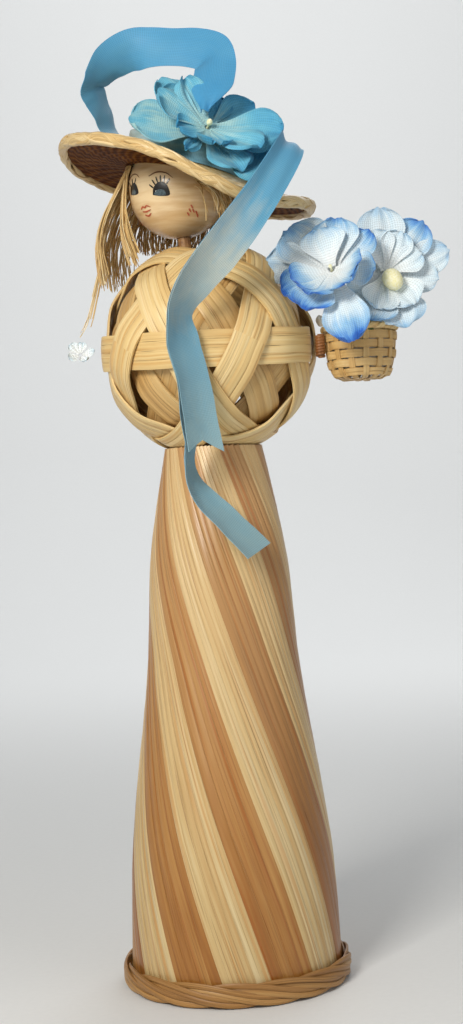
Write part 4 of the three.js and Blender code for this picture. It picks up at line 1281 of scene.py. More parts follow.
    def stroke(self, form: Form, points: Mark, width: float, paint: Paint) -> None:
        """A brush stroke that thins towards its ends.

        Args:
            form: The mesh.
            points: Its middle line.
            width: Its greatest width in millimetres.
            paint: What it is painted with.
        """
        steps = 6 * len(points)
        line = Route([Vector((*p, 0.0)) for p in points]).run(steps)
        path = [self.on_bead(p.x, p.y, self.top_lift) for p in line]
        ways = directions(path, False)

        def place(u: float, v: float) -> Vector:
            """A point across the stroke."""
            i = round(v * steps)
            out = (path[i] - self.centre).normalized()
            half = width * (0.25 + 0.75 * sin(pi * min(1.0, 0.15 + 0.85 * v)) ** 0.6) / 2.0
            return path[i] + ways[i].cross(out) * (half * (2.0 * u - 1.0))

        faces = form.sweep((2, steps), place, (width, 4.0), material=paint.value)
        form.thicken(faces, self.paint_depth)


@dataclass
class Hat:
    """The sewn straw hat with its twisted rim, tilted on the head."""

    finishes: Finishes
    head: Head
    tilt: float = 15.4
    seat: float = 3.0
    shift: float = 2.1
    brim_radius: float = 39.7
    brim_thickness: float = 1.6
    front_droop: float = 8.0
    back_droop: float = 3.0
    droop_turn: float = -60.0
    wave: float = 0.35
    waves: int = 5
    wave_start: float = 0.7
    rim_radius: float = 1.7
    crown_radius: float = 18.5
    crown_height: float = 21.0
    crown_wall: float = 1.2
    shoulder: float = 0.45
    dome: tuple[Pair, ...] = (
        (1.0, 0.0), (0.94, 0.4), (0.78, 0.74), (0.5, 0.93), (0.2, 0.99), (0.0, 1.0)
    )
    segments: int = 160
    step: float = 0.6
    row: float = 2.4
    ridge: float = 0.22
    mean_radius: float = 28.0
    rim_strands: int = 9
    rim_widths: Pair = (1.5, 2.2)
    rim_thickness: float = 1.1
    rim_twists: int = 6
    rim_steps: int = 360
    rim_bundle: Pair = (0.95, 1.5)
    tuck: float = 0.9

    @property
    def frame(self) -> Matrix:
        """The hat's own frame.

        Returns:
            The frame with the brim's underside at zero height and the crown's axis up.
        """
        turn = Matrix.Rotation(radians(self.tilt), 4, "Y")
        seat = Matrix.Translation((self.shift, 0.0, self.seat))
        return Matrix.Translation(self.head.centre) @ turn @ seat

    @property
    def brim_edge(self) -> float:
        """The radius where the plait meets the rim."""
        return self.brim_radius - 2.0 * self.rim_radius - GLUE_GAP

    def droop(self, x: float, y: float) -> float:
        """How far the brim hangs down.

        Args:
            x: The place in the hat's own frame.
            y: The same.

        Returns:
            The drop there.
        """
        out = max(0.0, (hypot(x, y) - self.crown_radius) / (self.brim_radius - self.crown_radius))
        turn = atan2(y, x)
        lean = cos(turn - radians(self.droop_turn))
        front = self.front_droop * max(0.0, lean) ** 4
        back = self.back_droop * max(0.0, -lean) ** 2
        wave = self.wave * out**2 * sin(self.waves * turn + self.wave_start)
        return (front + back) * out**1.5 + wave

    def point(self, radius: float, turn: float, height: float) -> Vector:
        """A point over the brim or crown by its turn round the hat's axis, in the doll's frame."""
        spot = polar(radius, turn, height)
        return self.frame @ (spot - UP * self.droop(spot.x, spot.y))

    def profile(self) -> list[tuple[Vector, Vector]]:
        """The outline from the crown's top, over the brim and back inside, with each point's way out.

        Returns:
            Points of radius and height with their outward direction, closely spaced.
        """
        shoulder = self.shoulder * self.crown_height
        inside = self.crown_radius - self.crown_wall
        edge = self.brim_edge + self.tuck

        def crown(radius: float, top: float) -> list[Vector]:
            """The dome's corners from the shoulder to the top."""
            rise = top - shoulder
            return [Vector((across * radius, shoulder + up * rise)) for across, up in self.dome]

        corners = crown(self.crown_radius, self.crown_height)[::-1]
        corners += [Vector((self.crown_radius, self.brim_thickness)), Vector((edge, self.brim_thickness))]
        corners += [Vector((edge, 0.0)), Vector((inside, 0.0))]
        corners += crown(inside, self.crown_height - self.crown_wall)
        found = []
        for a, b in zip(corners, corners[1:]):
            way = (b - a).normalized()
            out = Vector((-way.y, way.x))
            count = max(1, round((b - a).length / self.step))
            found += [(a.lerp(b, i / count), out) for i in range(count)]
        return found + [(corners[-1], Vector((0.0, -1.0)))]

    def build(self) -> None:
        """Builds the plait and the rim."""
        outline = self.profile()
        lengths = [0.0]
        for (a, _), (b, _) in zip(outline, outline[1:]):
            lengths.append(lengths[-1] + (b - a).length)

        def place(u: float, v: float) -> Vector:
            """A point of the outline, ridged in rows and turned about the hat's axis."""
            i = round(v * (len(outline) - 1))
            point, out = outline[i]
            bump = self.ridge * (sin(tau * lengths[i] / self.row) - 1.0)
            bump *= min(1.0, point.x / 3.0)
            spot = polar(max(0.0, point.x + out.x * bump), 360.0 * u, point.y + out.y * bump)
            spot.z -= self.droop(spot.x, spot.y)
            return spot

        form = Form()
        size = (tau * self.mean_radius, lengths[-1])
        rows = len(outline) - 1
        faces = form.sweep((self.segments, rows), place, size, merged=True)
        # The underside starts where the outline turns back under the brim; it takes the darker plait,
        # painted shade
        below = (i for i, (p, _) in enumerate(outline) if p.x > self.brim_edge - 0.1 and p.y < 0.1)
        start = size[1] * next(below) / rows - 0.1
        for face in faces:
            if min(loop[form.flat].uv.y for loop in face.loops) > start:
                face.material_index = 1
        form.move(self.frame)
        materials = [self.finishes.hat_straw, self.finishes.hat_under]
        form.finish("hat_body_plait", materials, Body.HEAD, Slot.HAT_STRAW, ["hat_body"], 60.0)
        self.rim()

    def rim(self) -> None:
        """The rim: a bundle of raffia laid round the edge and bound, uneven as hand work is."""
        rng = Random(SEED + 2)
        form = Form()
        for strand in range(self.rim_strands):
            path, outs = [], []
            phase = rng.uniform(0.0, 50.0)
            twists = self.rim_twists if strand % 2 else -self.rim_twists
            for i in range(self.rim_steps):
                angle = 360.0 * i / self.rim_steps
                out = polar(1.0, angle)
                stray = noise.noise(Vector((phase, 5.0 * out.x, 5.0 * out.y)))
                twist = radians(angle * twists + 360.0 * strand / self.rim_strands) + stray
                spot = out * (self.brim_radius - self.rim_radius)
                centre = spot + UP * (self.brim_thickness / 2.0 - self.droop(spot.x, spot.y))
                aside, above = self.rim_bundle
                way = out * (aside * cos(twist)) + UP * (above * sin(twist))
                path.append(centre + way * (0.9 + 0.25 * stray))
                outs.append(way.normalized())
            widths = [rng.uniform(*self.rim_widths)] * self.rim_steps
            form.strip(path, outs, widths, self.rim_thickness, rng, closed=True, fullness=0.8)
        form.move(self.frame)
        form.finish("hat_rim_twist", [self.finishes.rim_straw], Body.HEAD, Slot.HAT_STRAW, ["hat_rim"])


@dataclass(frozen=True)
class Lock:
    """A lock of hair: its turns, number of fibres, flare on the way down, drop and how much that varies."""

    node: str
    root_turns: Pair
    tip_turns: Pair
    count: int
    flares: Triple
    drop: float
    spread: float


@dataclass
class Hair:
    """Raffia fibres on pads round the head, and the little blossom on one long fibre."""

    finishes: Finishes
    head: Head
    hat: Hat
    pad_gap: float = 0.4
    pad_wall: float = 1.6
    pad_drop: float = 1.5
    pad_steps: int = 24
    fibre: float = 0.44
    fibre_widths: Pair = (0.7, 1.6)
    fibre_thickness: float = 0.32
    cap_depth: float = 0.1
    long_count: int = 12
    long_shares: Pair = (0.55, 0.95)
    locks: tuple[Lock, ...] = (
        Lock("hair_left", (124.0, 198.0), (138.0, 192.0), 110, (6.0, 8.4, 7.6), 25.0, 4.5),
        Lock("hair_back", (16.0, 124.0), (16.0, 138.0), 320, (4.2, 3.8, 1.2), 16.4, 1.0),
        Lock("hair_right", (-72.0, 12.0), (-58.0, 8.0), 84, (2.7, 3.7, 3.0), 12.0, 2.0),
    )
    wisps: Lock = Lock("hair_left", (176.0, 200.0), (170.0, 214.0), 64, (0.8, 0.6, -1.6), 20.5, 2.5)
    thread: tuple[Triple, ...] = (
        (-15.2, 7.0, 4.5), (-24.5, 9.0, -20.0), (-30.0, 10.5, -38.0), (-32.5, 11.5, -41.8)
    )

    def build(self, frame: dict) -> None:
        """Builds the locks, the cap of fibre inside the hat and the long fibres.

        Args:
            frame: The loaded frame, for the cap's solid.
        """
        rng = Random(SEED + 3)
        for lock in self.locks:
            form = Form()
            self.pad(form, lock)
            for _ in range(lock.count):
                self.strand(form, lock, rng)
            if lock.node == self.wisps.node:
                for _ in range(self.wisps.count):
                    self.strand(form, self.wisps, rng)
                self.long_fibres(form, rng)
            materials = [self.finishes.hair]
            form.finish(f"{lock.node}_fibres", materials, Body.HEAD, Slot.HAIR_STRAW, [lock.node], 60.0)
        self.cap(frame)

    def tilted(self, point: Vector) -> Vector:
        """A point of the tilted hat's frame about the head, in the doll's frame."""
        return self.head.centre + Matrix.Rotation(radians(self.hat.tilt), 3, "Y") @ point

    def pad(self, form: Form, lock: Lock) -> None:
        """The pad that a lock's fibres grow from.

        Args:
            form: The mesh.
            lock: The lock that grows there.
        """
        inner = self.head.radius + self.pad_gap
        outer = inner + self.pad_wall
        low, top = -self.pad_drop, self.hat.seat - GLUE_GAP
        middle, half = (inner + outer) / 2, (low + top) / 2
        ring = [(inner, low), (middle, low - 0.3), (outer, low), (outer + 0.1, half)]
        ring += [(outer, top), (middle, top), (inner, top), (inner, half)]

        def place(u: float, v: float) -> Vector:
            """A point of the pad's section, drawn in at both ends."""
            turn = lerp(*lock.root_turns, v)
            radius, height = ring[round(u * len(ring)) % len(ring)]
            ease = sin(pi * (0.02 + 0.96 * v)) ** 0.4
            return self.tilted(polar(lerp(inner, radius, ease), turn, lerp(top, height, ease)))

        cells = (len(ring), self.pad_steps)
        form.sweep(cells, place, (12.0, 40.0), 0.2, merged=True, capped=True)

    def strand(self, form: Form, lock: Lock, rng: Random) -> None:
        """One hanging fibre of a lock.

        Args:
            form: The mesh.
            lock: The lock that it belongs to.
            rng: Draws its place and bend.
        """
        share = rng.random()
        root_turn = lerp(lock.root_turns[0] + 2.0, lock.root_turns[1] - 2.0, share)
        tip_turn = lerp(*lock.tip_turns, share) + rng.gauss(0.0, 6.0)
        layer = rng.uniform(-1.0, 1.0)
        root = self.head.radius + self.pad_gap + self.pad_wall / 2.0
        drop = lock.drop + lock.spread * rng.uniform(-1.0, 1.0)
        start = self.tilted(polar(root + 0.5 * layer, root_turn, rng.uniform(-1.0, 1.5)))
        points = [start]
        for depth, swing, flare in zip((0.3, 0.65, 1.0), (0.35, 0.7, 1.0), lock.flares):
            turn = lerp(root_turn, tip_turn, swing) + rng.gauss(0.0, 1.5)
            radius = root + flare + layer * (0.3 + depth)
            points.append(self.head.centre + polar(radius, turn, -depth * drop))
        self.fibre_along(form, points, rng)

    def long_fibres(self, form: Form, rng: Random) -> None:
        """The fibre that carries the blossom and a few that hang nearly as far.

        Args:
            form: The mesh.
            rng: Draws the fibres' places and lengths.
        """
        centre = self.head.centre
        line = [centre + Vector(p) for p in self.thread]
        self.fibre_along(form, line, rng, 12)
        for _ in range(self.long_count):
            ease = rng.uniform(*self.long_shares)
            aside = Vector((rng.uniform(-1.0, 2.5), rng.uniform(-7.0, 0.5), 0.0))
            points = Route(line).run(8)
            points = [p + aside * (i / 8) for i, p in enumerate(points)]
            self.fibre_along(form, points[: max(4, round(8 * ease))], rng, 12)

    def fibre_along(self, form: Form, points: Points, rng: Random, steps: int = 9) -> None:
        """A flat fibre along a smooth curve.

        Args:
            form: The mesh.
            points: What the curve passes through.
            rng: Draws its width and grain.
            steps: How many faces along it.
        """
        path = Route(points).run(steps)
        outs = [(p - self.head.centre).normalized() for p in path]
        width = self.fibre * rng.uniform(*self.fibre_widths)
        widths = [width * (1.0 - 0.5 * i / steps) for i in range(steps + 1)]
        form.strip(path, outs, widths, self.fibre_thickness, rng, sides=4, fullness=1.0)

    def cap(self, frame: dict) -> None:
        """The wad of fibre between the bead and the crown, from its solid, roughened.

        Args:
            frame: The loaded frame.
        """
        form = Form()
        form.bm.from_mesh(frame["nodes"]["hair_cap"].data)
        form.move(TO_SHARED.inverted())
        bmesh.ops.remove_doubles(form.bm, verts=form.bm.verts, dist=1e-3)
        bmesh.ops.subdivide_edges(form.bm, edges=form.bm.edges, cuts=1, use_grid_fill=True)
        for vert in form.bm.verts:
            vert.co -= UP * self.cap_depth * abs(noise.noise(vert.co))
        materials = [self.finishes.hair_pad]
        form.finish("hair_cap_wad", materials, Body.HEAD, Slot.HAIR_STRAW, ["hair_cap"], 60.0)


@dataclass(frozen=True)
class Cut:
    """How a length of ribbon is cut, curled and gathered, and how far its colour runs towards the painted
    highlight's pale tone.
    """

    lift: float = 0.0
    slant: float = 0.0
    notch: float = 0.0
    curl: float = 0.9
    pinch: float = 1.0
    pinch_spans: float = 1.0
    dip: float = 1.0


@dataclass
class Ribbon:
    """The sky-blue ribbon: gathered round the crown, looped over the hat and hanging in two tails."""

    finishes: Finishes
    hat: Hat
    ball: WovenBall
    width: float = 12.5
    cloth: float = 0.18
    cells: int = 12
    span_steps: int = 8
    crumple: float = 0.35
    crumple_size: float = 7.0
    gather: float = 0.8
    band_height: float = 8.5
    band_standoff: float = 0.2
    band_cells: tuple[int, int] = (20, 120)
    pleats: float = 2.6
    pleat_depth: float = 0.45
    pleat_drift: float = 0.6
    tail_standoff: float = 2.4
    knot: Cut = Cut(curl=0.4, pinch=0.28, pinch_spans=2.0, dip=0.36)
    short_cut: Cut = Cut(lift=0.45, slant=0.8, notch=3.4, pinch=0.55, pinch_spans=7.0)
    long_cut: Cut = Cut(slant=1.5, pinch=0.55, pinch_spans=7.0)
    rise_path: tuple[Row, ...] = (
        (20.1, -7, 0.6, 0.5, 0.1, -0.85),
        (26.1, -15, 3.1, 0.65, 0, -0.75),
        (30.4, -22.4, 4.9, 0.78, 0.1, -0.6),
        (29.6, -28.6, 1.7, 0.76, 0.2, -0.6),
    )
    loop_path: tuple[Row, ...] = (
        (6.6, -26, 14.2, 0.9, -0.3, 0.2),
        (7.6, -24.6, 18, 0.95, -0.2, 0.1),
        (9, -21, 23.4, 0.97, -0.1, 0.1),
        (10, -16.4, 29.6, 0.95, -0.1, 0.2),
        (9.2, -12, 34.6, 0.62, -0.1, 0.75),
        (3.6, -8, 37.6, 0.1, 0.2, 0.97),
        (-3, -5, 39, 0, 0.3, 0.95),
        (-10, -2.4, 39.8, -0.05, 0.1, 0.97),
        (-16.6, 0.2, 39.4, -0.1, -0.55, 0.78),
        (-21.8, 2, 36.8, -0.2, -0.7, 0.62),
        (-25.6, 3.4, 32.8, -0.36, -0.8, 0.2),
        (-27.4, 4.4, 30.4, -0.5, -0.8, -0.34),
        (-26.6, 6, 28, -0.5, -0.83, -0.25),
        (-24.8, 8.4, 23.6, -0.42, -0.88, -0.1),
        (-22.6, 11, 18.4, -0.4, -0.9, 0),
    )
    root_standoff: float = 3.2
    root_turn: float = 148.0
    root_height: float = 8.0
    root_across: Triple = (-0.4, -0.9, 0.0)
    tail_path: tuple[Row, ...] = (
        (20, -0.4, 43.2, 0.72, 0.3, -0.6),
        (12.4, -4.2, 32.4, 0.66, 0.35, -0.62),
        (4.4, -7, 22.5, 0.62, 0.45, -0.6),
        (-3.4, -7, 13.8, 0.55, 0.75, -0.37),
        (-7.8, -5.6, 6.2, 0.46, 0.88, -0.1),
        (-7, -4.2, -2, 0.68, 0.7, 0.15),
        (-5, -2.8, -11, 0.68, 0.72, 0.2),
    )
    short_end: tuple[Row, ...] = (
        (-3.6, -2, -21, 0.7, 0.68, 0.2),
        (-2.2, -1.4, -32, 0.76, 0.62, 0.1),
    )
    long_end: tuple[Row, ...] = (
        (-4.6, 1.6, -19, 0.66, 0.72, 0.2),
        (-6.2, 5.4, -27.5, 0.24, 0.96, 0.1),
        (-7, 6, -34.5, 0.18, 0.98, 0.1),
        (-4.2, 4.4, -43, 0.36, 0.9, 0.3),
        (3.8, 4.4, -52, 0.42, 0.82, 0.38),
        (11.5, 6, -60.5, 0.44, 0.78, 0.42),
    )

    def build(self) -> None:
        """Builds the band, the loop and the tails."""
        self.band()
        middle = self.hat.frame.to_translation()
        loop = self.stations(self.loop_path, middle)
        root = self.hat.point(self.hat.crown_radius + self.root_standoff, self.root_turn, self.root_height)
        loop.append((root, Vector(self.root_across)))
        self.hang("ribbon_loop", loop, self.knot)
        front = Vector((0.0, -(self.ball.reach + self.tail_standoff), self.ball.centre_height))
        run = self.stations(self.rise_path, middle) + self.stations(self.tail_path, front)
        short = run + self.stations(self.short_end, front)
        long = run + self.stations(self.long_end, front)
        self.hang("ribbon_tail_short", short, self.short_cut)
        self.hang("ribbon_tail_long", long, self.long_cut)

    @staticmethod
    def stations(table: Sequence[Row], offset: Vector) -> list[tuple[Vector, Vector]]:
        """Places and across directions from a table, moved by an offset."""
        return [(Vector(row[:3]) + offset, Vector(row[3:])) for row in table]

    def band(self) -> None:
        """The ribbon gathered round the crown in soft lengthwise pleats."""
        inner = self.hat.crown_radius + GLUE_GAP + self.band_standoff
        low = self.hat.brim_thickness + GLUE_GAP

        def place(u: float, v: float) -> Vector:
            """A point of the pleats, which drift up and down on the way round."""
            turn = tau * v
            stray = noise.noise(Vector((3.0 * cos(turn), 3.0 * sin(turn), 1.0)))
            rows = self.pleats * u + self.pleat_drift * stray
            pleat = self.pleat_depth * (1.0 + sin(tau * rows))
            return polar(inner + pleat, degrees(turn), low + self.band_height * u)

        form = Form()
        length = tau * (inner + 0.5)
        form.sheet(self.band_cells, place, (self.width, length), self.cloth, merged=True)
        form.move(self.hat.frame)
        cloth = [self.finishes.ribbon]
        piece = form.finish("ribbon_band_pleats", cloth, Body.HEAD, Slot.BLUE_RIBBON, ["ribbon_band"], 70.0)

    def hang(
        self, node: str, stations: Sequence[tuple[Vector, Vector]], cut: Cut,
    ) -> None:
        """A length of ribbon through stations, curled across and a little crumpled.

        Args:
            node: The CAD node that it stands for.
            stations: Places and directions across.
            cut: How its ends are cut and gathered.
        """
        spans = len(stations) - 1
        steps = self.span_steps * spans
        centres = Route([at for at, _ in stations])
        sides = Route([across.normalized() for _, across in stations])
        path = centres.run(steps)
        ways = directions(path, False)

        def place(u: float, v: float) -> Vector:
            """A point of the ribbon, gathered at its start and cut at its end."""
            i = round(v * steps)
            way = ways[i]
            across = sides.at(v)
            across = (across - way * across.dot(way)).normalized()
            face = way.cross(across)
            late = smooth(max(0.0, v - 1.0 + 1.0 / spans) * spans)
            side = 2.0 * u - 1.0
            open_share = smooth(v * spans / cut.pinch_spans) if cut.pinch < 1.0 else 1.0
            narrowed = lerp(cut.pinch, 1.0, open_share) * (1.0 - 0.02 * cut.curl * cut.curl)
            half = self.width / 2.0 * narrowed
            gathers = self.gather * (1.0 - open_share) * cos(3.0 * pi * u)
            spot = Vector((1.2 * side, path[i].z / self.crumple_size, path[i].x / self.crumple_size))
            crumple = self.crumple * noise.noise(spot)
            bow = cut.curl * (side * side - 0.4) + crumple + gathers
            end = late * (cut.slant * side + cut.notch * (abs(side) - 1.0))
            return path[i] + across * (side * half) + face * (cut.lift + bow) + way * end

        form = Form()
        length = path_length(path)
        form.sheet((self.cells, steps), place, (self.width, length), self.cloth, dip=cut.dip)
        cloth = [self.finishes.ribbon]
        piece = form.finish(f"{node}_cloth", cloth, Body.HEAD, Slot.BLUE_RIBBON, [node], 70.0)


@dataclass(frozen=True)
class Petal:
    """A cloth petal: its turn, length, width, how far its tip rises, its ripple and how blue it is."""

    turn: float
    length: float
    width: float
    rise: float = 5.0
    ripple: float = 0.8
    dip: float = 1.0


@dataclass
class ClothFlower:
    """A flower of stiffened cloth: an outer and an inner ring of petals round a stamen."""

    finishes: Finishes
    name: str
    frame: Matrix
    body: Body
    slot: Slot
    outer: tuple[Petal, ...]
    inner: tuple[Petal, ...]
    knob: float
    lean: Triple = (0.0, 0.0, 1.0)
    hole: float = 1.2
    cloth: float = 0.22
    cells: tuple[int, int] = (16, 14)
    outer_rise: float = 0.3
    inner_rise: float = 2.2
    back: float = 2.0
    neck: float = 3.1
    neck_radius: float = 0.7
    teardrop: tuple[Pair, ...] = (
        (0.3, 0.0), (0.55, 0.2), (0.86, 0.6), (0.97, 1.1), (0.92, 1.6), (0.66, 2.15), (0.36, 2.4),
        (0.0, 2.5),
    )

    def build(self, material: Material, rests_on: str) -> None:
        """Builds the petals and the stamen.

        Args:
            material: The petals' cloth.
            rests_on: What carries the flower. Not used.
        """
        rng = Random(f"{SEED} {self.name}")
        stamen = self.stamen()
        rings = (("outer", self.outer, self.outer_rise), ("inner", self.inner, self.inner_rise))
        for label, petals, height in rings:
            form = Form()
            area = sum(self.petal(form, petal, height, rng) for petal in petals)
            form.move(self.frame)
            node = f"{self.name}_{label}_petals"
            piece = form.finish(f"{node}_cloth", [material], self.body, self.slot, [node], 70.0)
            cut = 2.0 * max(self.hole + petal.length for petal in petals)

    def petal(self, form: Form, petal: Petal, height: float, rng: Random) -> float:
        """One petal, cupped and rippled.

        Args:
            form: The mesh.
            petal: Its sizes.
            height: How far its foot stands above the flower's back.
            rng: Draws its ripples.

        Returns:
            The cloth's area in square millimetres.
        """
        phase = rng.uniform(0.0, 6.0)
        fold = rng.uniform(0.5, 1.0)
        spin = Matrix.Rotation(radians(petal.turn), 4, "Z")

        def place(u: float, v: float) -> Vector:
            """A point of the petal: narrow at its foot, round at its tip, cupped, pleated and rippled."""
            side = 2.0 * u - 1.0
            belly = 0.22 + 0.78 * smooth(v / 0.62)
            v = 1.0 - (1.0 - v) ** 1.25
            tip = sqrt(max(0.0, 1.0 - (max(0.0, v - 0.55) / 0.46) ** 2.6))
            half = petal.width / 2.0 * belly * (0.08 + 0.92 * tip)
            frill = 1.0 + 0.02 * v * tip * sin(8.0 * side + phase)
            along = self.hole * 0.7 + petal.length * frill * (v - 0.06 * side * side * v**3)
            ripple = petal.ripple * v**2 * (0.4 + 0.6 * tip) * sin(5.2 * side + phase)
            ripple *= 0.4 + 0.6 * abs(side)
            pleat = 0.5 * v * (0.3 + 0.7 * tip) * sin(10.0 * side * fold + 2.0 * phase)
            cup = 0.13 * petal.width * side * side * sin(pi * min(1.0, v * 0.85)) * fold
            rise = petal.rise * v**1.5 - petal.rise * max(0.0, v - 0.75) ** 2
            return spin @ Vector((along, side * half, height + rise + ripple + pleat + cup))

        return form.sheet(self.cells, place, (petal.width, petal.length), self.cloth, dip=petal.dip)

    def stamen(self) -> str:
        """The teardrop knob on its neck.

        Returns:
            The new piece's name.
        """
        neck = self.neck
        outline = [(0.0, -self.back), (self.neck_radius, -self.back), (self.neck_radius, 0.0)]
        outline += [(self.knob * radius, neck + self.knob * height) for radius, height in self.teardrop]
        bend = UP.rotation_difference(Vector(self.lean).normalized()).to_matrix()

        def place(u: float, v: float) -> Vector:
            """A point of the straight neck or of the leaning knob."""
            radius, height = outline[round(v * (len(outline) - 1))]
            if height < neck:
                return polar(radius, 360.0 * u, height)
            return UP * neck + bend @ polar(radius, 360.0 * u, height - neck)

        form = Form()
        form.sweep((24, len(outline) - 1), place, (14.0, 10.0), merged=True)
        form.move(self.frame)
        node = f"{self.name}_stamen"
        name = f"{node}_knob"
        form.finish(name, [self.finishes.stamen], self.body, Slot.CREAM_STAMEN, [node], 60.0)
        return name


@dataclass(frozen=True)
class Bloom:
    """A flower of the basket: its place and look in the basket's frame, its wire's run and its petals."""

    name: str
    place: Triple
    looks: Triple
    sway: Triple
    foot: float
    outer: tuple[Petal, ...]
    inner: tuple[Petal, ...]
    knob: float
    lean: Triple = (0.0, 0.0, 1.0)

    @property
    def way(self) -> Vector:
        """The way that it looks, as a unit vector."""
        return Vector(self.looks).normalized()


@dataclass
class Basket:
    """The little basket on the ball's side: stakes and weavers, a twisted rim, a wound tie and glue."""

    finishes: Finishes
    ball: WovenBall
    turn: float = -8.0
    radius: float = 11.0
    foot_radius: float = 6.5
    height: float = 14.0
    bottom_drop: float = 12.0
    wall: float = 1.1
    rim_radius: float = 1.2
    standoff: float = 0.5
    rim_steps: int = 200
    rim_twists: float = 11.0
    rim_lay: float = 0.55
    rim_strand: Pair = (1.6, 1.25)
    stakes: int = 14
    stake_width: float = 1.9
    rows: int = 5
    splint: float = 0.4
    tie_radius: float = 1.5
    tie_height: float = 7.0
    tie_turns: int = 7
    tie_steps: int = 18
    tie_core: float = 1.4
    twine: float = 1.0
    glue_radius: float = 1.8
    fill_depth: float = 2.0
    stem_sink: float = 6.0
    stem_radius: float = 0.9
    stem_steps: int = 24

    @property
    def reach(self) -> float:
        """How far the basket's middle stands from the skirt's axis."""
        return self.ball.reach + self.standoff + self.radius + self.rim_radius

    @property
    def frame(self) -> Matrix:
        """The basket's own frame, from the middle of its foot."""
        foot = polar(self.reach, self.turn, self.ball.centre_height - self.bottom_drop)
        return Matrix.Translation(foot) @ Matrix.Rotation(radians(self.turn), 4, "Z")

    def bowl(self, height: float) -> float:
        """The bowl's outer radius at a height above its foot."""
        share = min(1.0, max(0.0, height / self.height))
        return self.foot_radius + (self.radius - self.foot_radius) * sqrt(share * (2.0 - share))

    def build(self) -> None:
        """Builds the weave, the rim, the tie and the glue."""
        rng = Random(SEED + 5)
        form = Form()
        for k in range(self.stakes):
            self.stake(form, k, rng)
        for row in range(self.rows):
            self.weaver(form, row, rng)
        form.move(self.frame)
        # The bowl takes the darker rattan too: browner, and partly painted shade for the gaps of its weave
        materials = [self.finishes.inner_cane]
        form.finish("basket_bowl_weave", materials, Body.FIGURE, Slot.CANE, ["basket_bowl"])
        self.rim(rng)
        self.tie(rng)
        self.glue()

    def rim(self, rng: Random) -> None:
        """The rim: two strands twisted round each other.

        Args:
            rng: Draws the strands' grain.
        """
        form = Form()
        width, thickness = self.rim_strand
        for strand in range(2):
            path, outs = [], []
            for i in range(self.rim_steps):
                angle = 360.0 * i / self.rim_steps
                twist = radians(angle * self.rim_twists + 180.0 * strand)
                out = polar(1.0, angle)
                way = out * cos(twist) + UP * sin(twist)
                top = self.height + GLUE_GAP + self.rim_radius
                path.append(out * (self.radius - self.wall / 2.0) + UP * top + way * self.rim_lay)
                outs.append(way)
            form.strip(path, outs, [width] * self.rim_steps, thickness, rng, closed=True, fullness=0.9)
        form.move(self.frame)
        form.finish("basket_rim_twist", [self.finishes.cane], Body.FIGURE, Slot.CANE, ["basket_rim"])

    def stake(self, form: Form, k: int, rng: Random) -> None:
        """A stake from the middle of the bottom, out and up the wall.

        Args:
            form: The mesh.
            k: Which stake.
            rng: Draws its grain.
        """
        turn = 360.0 * k / self.stakes
        path, outs, widths = [], [], []
        for i in range(7):
            share = i / 6
            path.append(polar(lerp(0.6, self.foot_radius - 0.6, share), turn, 0.45 + 0.12 * (k % 3)))
            outs.append(-UP)
            widths.append(lerp(0.7, self.stake_width, share))
        for i in range(1, 13):
            height = 0.5 + (self.height - 0.5) * i / 12
            path.append(polar(self.bowl(height) - self.wall / 2.0, turn, height))
            outs.append((polar(1.0, turn) - UP * max(0.0, 0.5 - height / 6.0)).normalized())
            widths.append(self.stake_width)
        form.strip(path, outs, widths, self.splint, rng, sides=6, fullness=0.6)

    def weaver(self, form: Form, row: int, rng: Random) -> None:
        """A flat splint that runs round over and under the stakes.

        Args:
            form: The mesh.
            row: Which row from the bottom.
            rng: Draws its grain.
        """
        pitch = (self.height - 0.8) / self.rows
        steps = self.stakes * 8
        height = 0.9 + pitch * (row + 0.5)
        lean = self.bowl(height + 0.5) - self.bowl(height - 0.5)
        path, outs = [], []
        for i in range(steps):
            angle = 360.0 * i / steps
            swing = cos(radians(angle * self.stakes / 2.0) + pi * row)
            swing = copysign(abs(swing) ** 0.6, swing)
            spot = Vector((cos(radians(angle)) * 3.0, row * 5.0, angle / 60.0))
            wobble = 0.15 * noise.noise(spot)
            radius = self.bowl(height) - self.wall / 2.0 + self.splint * swing
            path.append(polar(radius, angle, height + wobble))
            outs.append((polar(1.0, angle) - UP * lean).normalized())
        widths = [pitch - 0.15] * steps
        form.strip(path, outs, widths, self.splint, rng, closed=True, sides=6, fullness=0.6)

    def tie(self, rng: Random) -> None:
        """Twine wound round in the wedge between ball and basket.

        Args:
            rng: Draws the twine's grain.
        """
        middle = self.ball.centre_height - self.bottom_drop + self.height - self.tie_height / 2.0
        to_ball = self.ball.reach + GLUE_GAP + self.tie_radius
        to_bowl = self.radius + GLUE_GAP + self.tie_radius
        along = (self.reach**2 + to_ball**2 - to_bowl**2) / (2.0 * self.reach)
        centre = Vector((along, -sqrt(to_ball**2 - along**2), middle))
        centre.rotate(Matrix.Rotation(radians(self.turn), 3, "Z"))
        pitch = self.tie_height / self.tie_turns
        steps = self.tie_steps * self.tie_turns
        path, outs = [], []
        for i in range(steps + 1):
            turn = 360.0 * self.tie_turns * i / steps
            height = lerp(-0.5, 0.5, i / steps) * (self.tie_height - pitch)
            out = polar(1.0, turn)
            path.append(centre + out * (self.tie_radius - self.twine / 2.0) + UP * height)
            outs.append(out)
        form = Form()
        form.strip(path, outs, [pitch * 1.02] * (steps + 1), self.twine, rng, fullness=0.95)
        core = [centre + UP * lerp(-0.5, 0.5, i / 6) * self.tie_height for i in range(7)]
        form.strip(core, [FRONT] * 7, [self.tie_core] * 7, self.tie_core, rng, fullness=1.0)
        materials = [self.finishes.twine]
        form.finish("basket_tie_winding", materials, Body.FIGURE, Slot.BROWN_TWINE, ["basket_tie"])

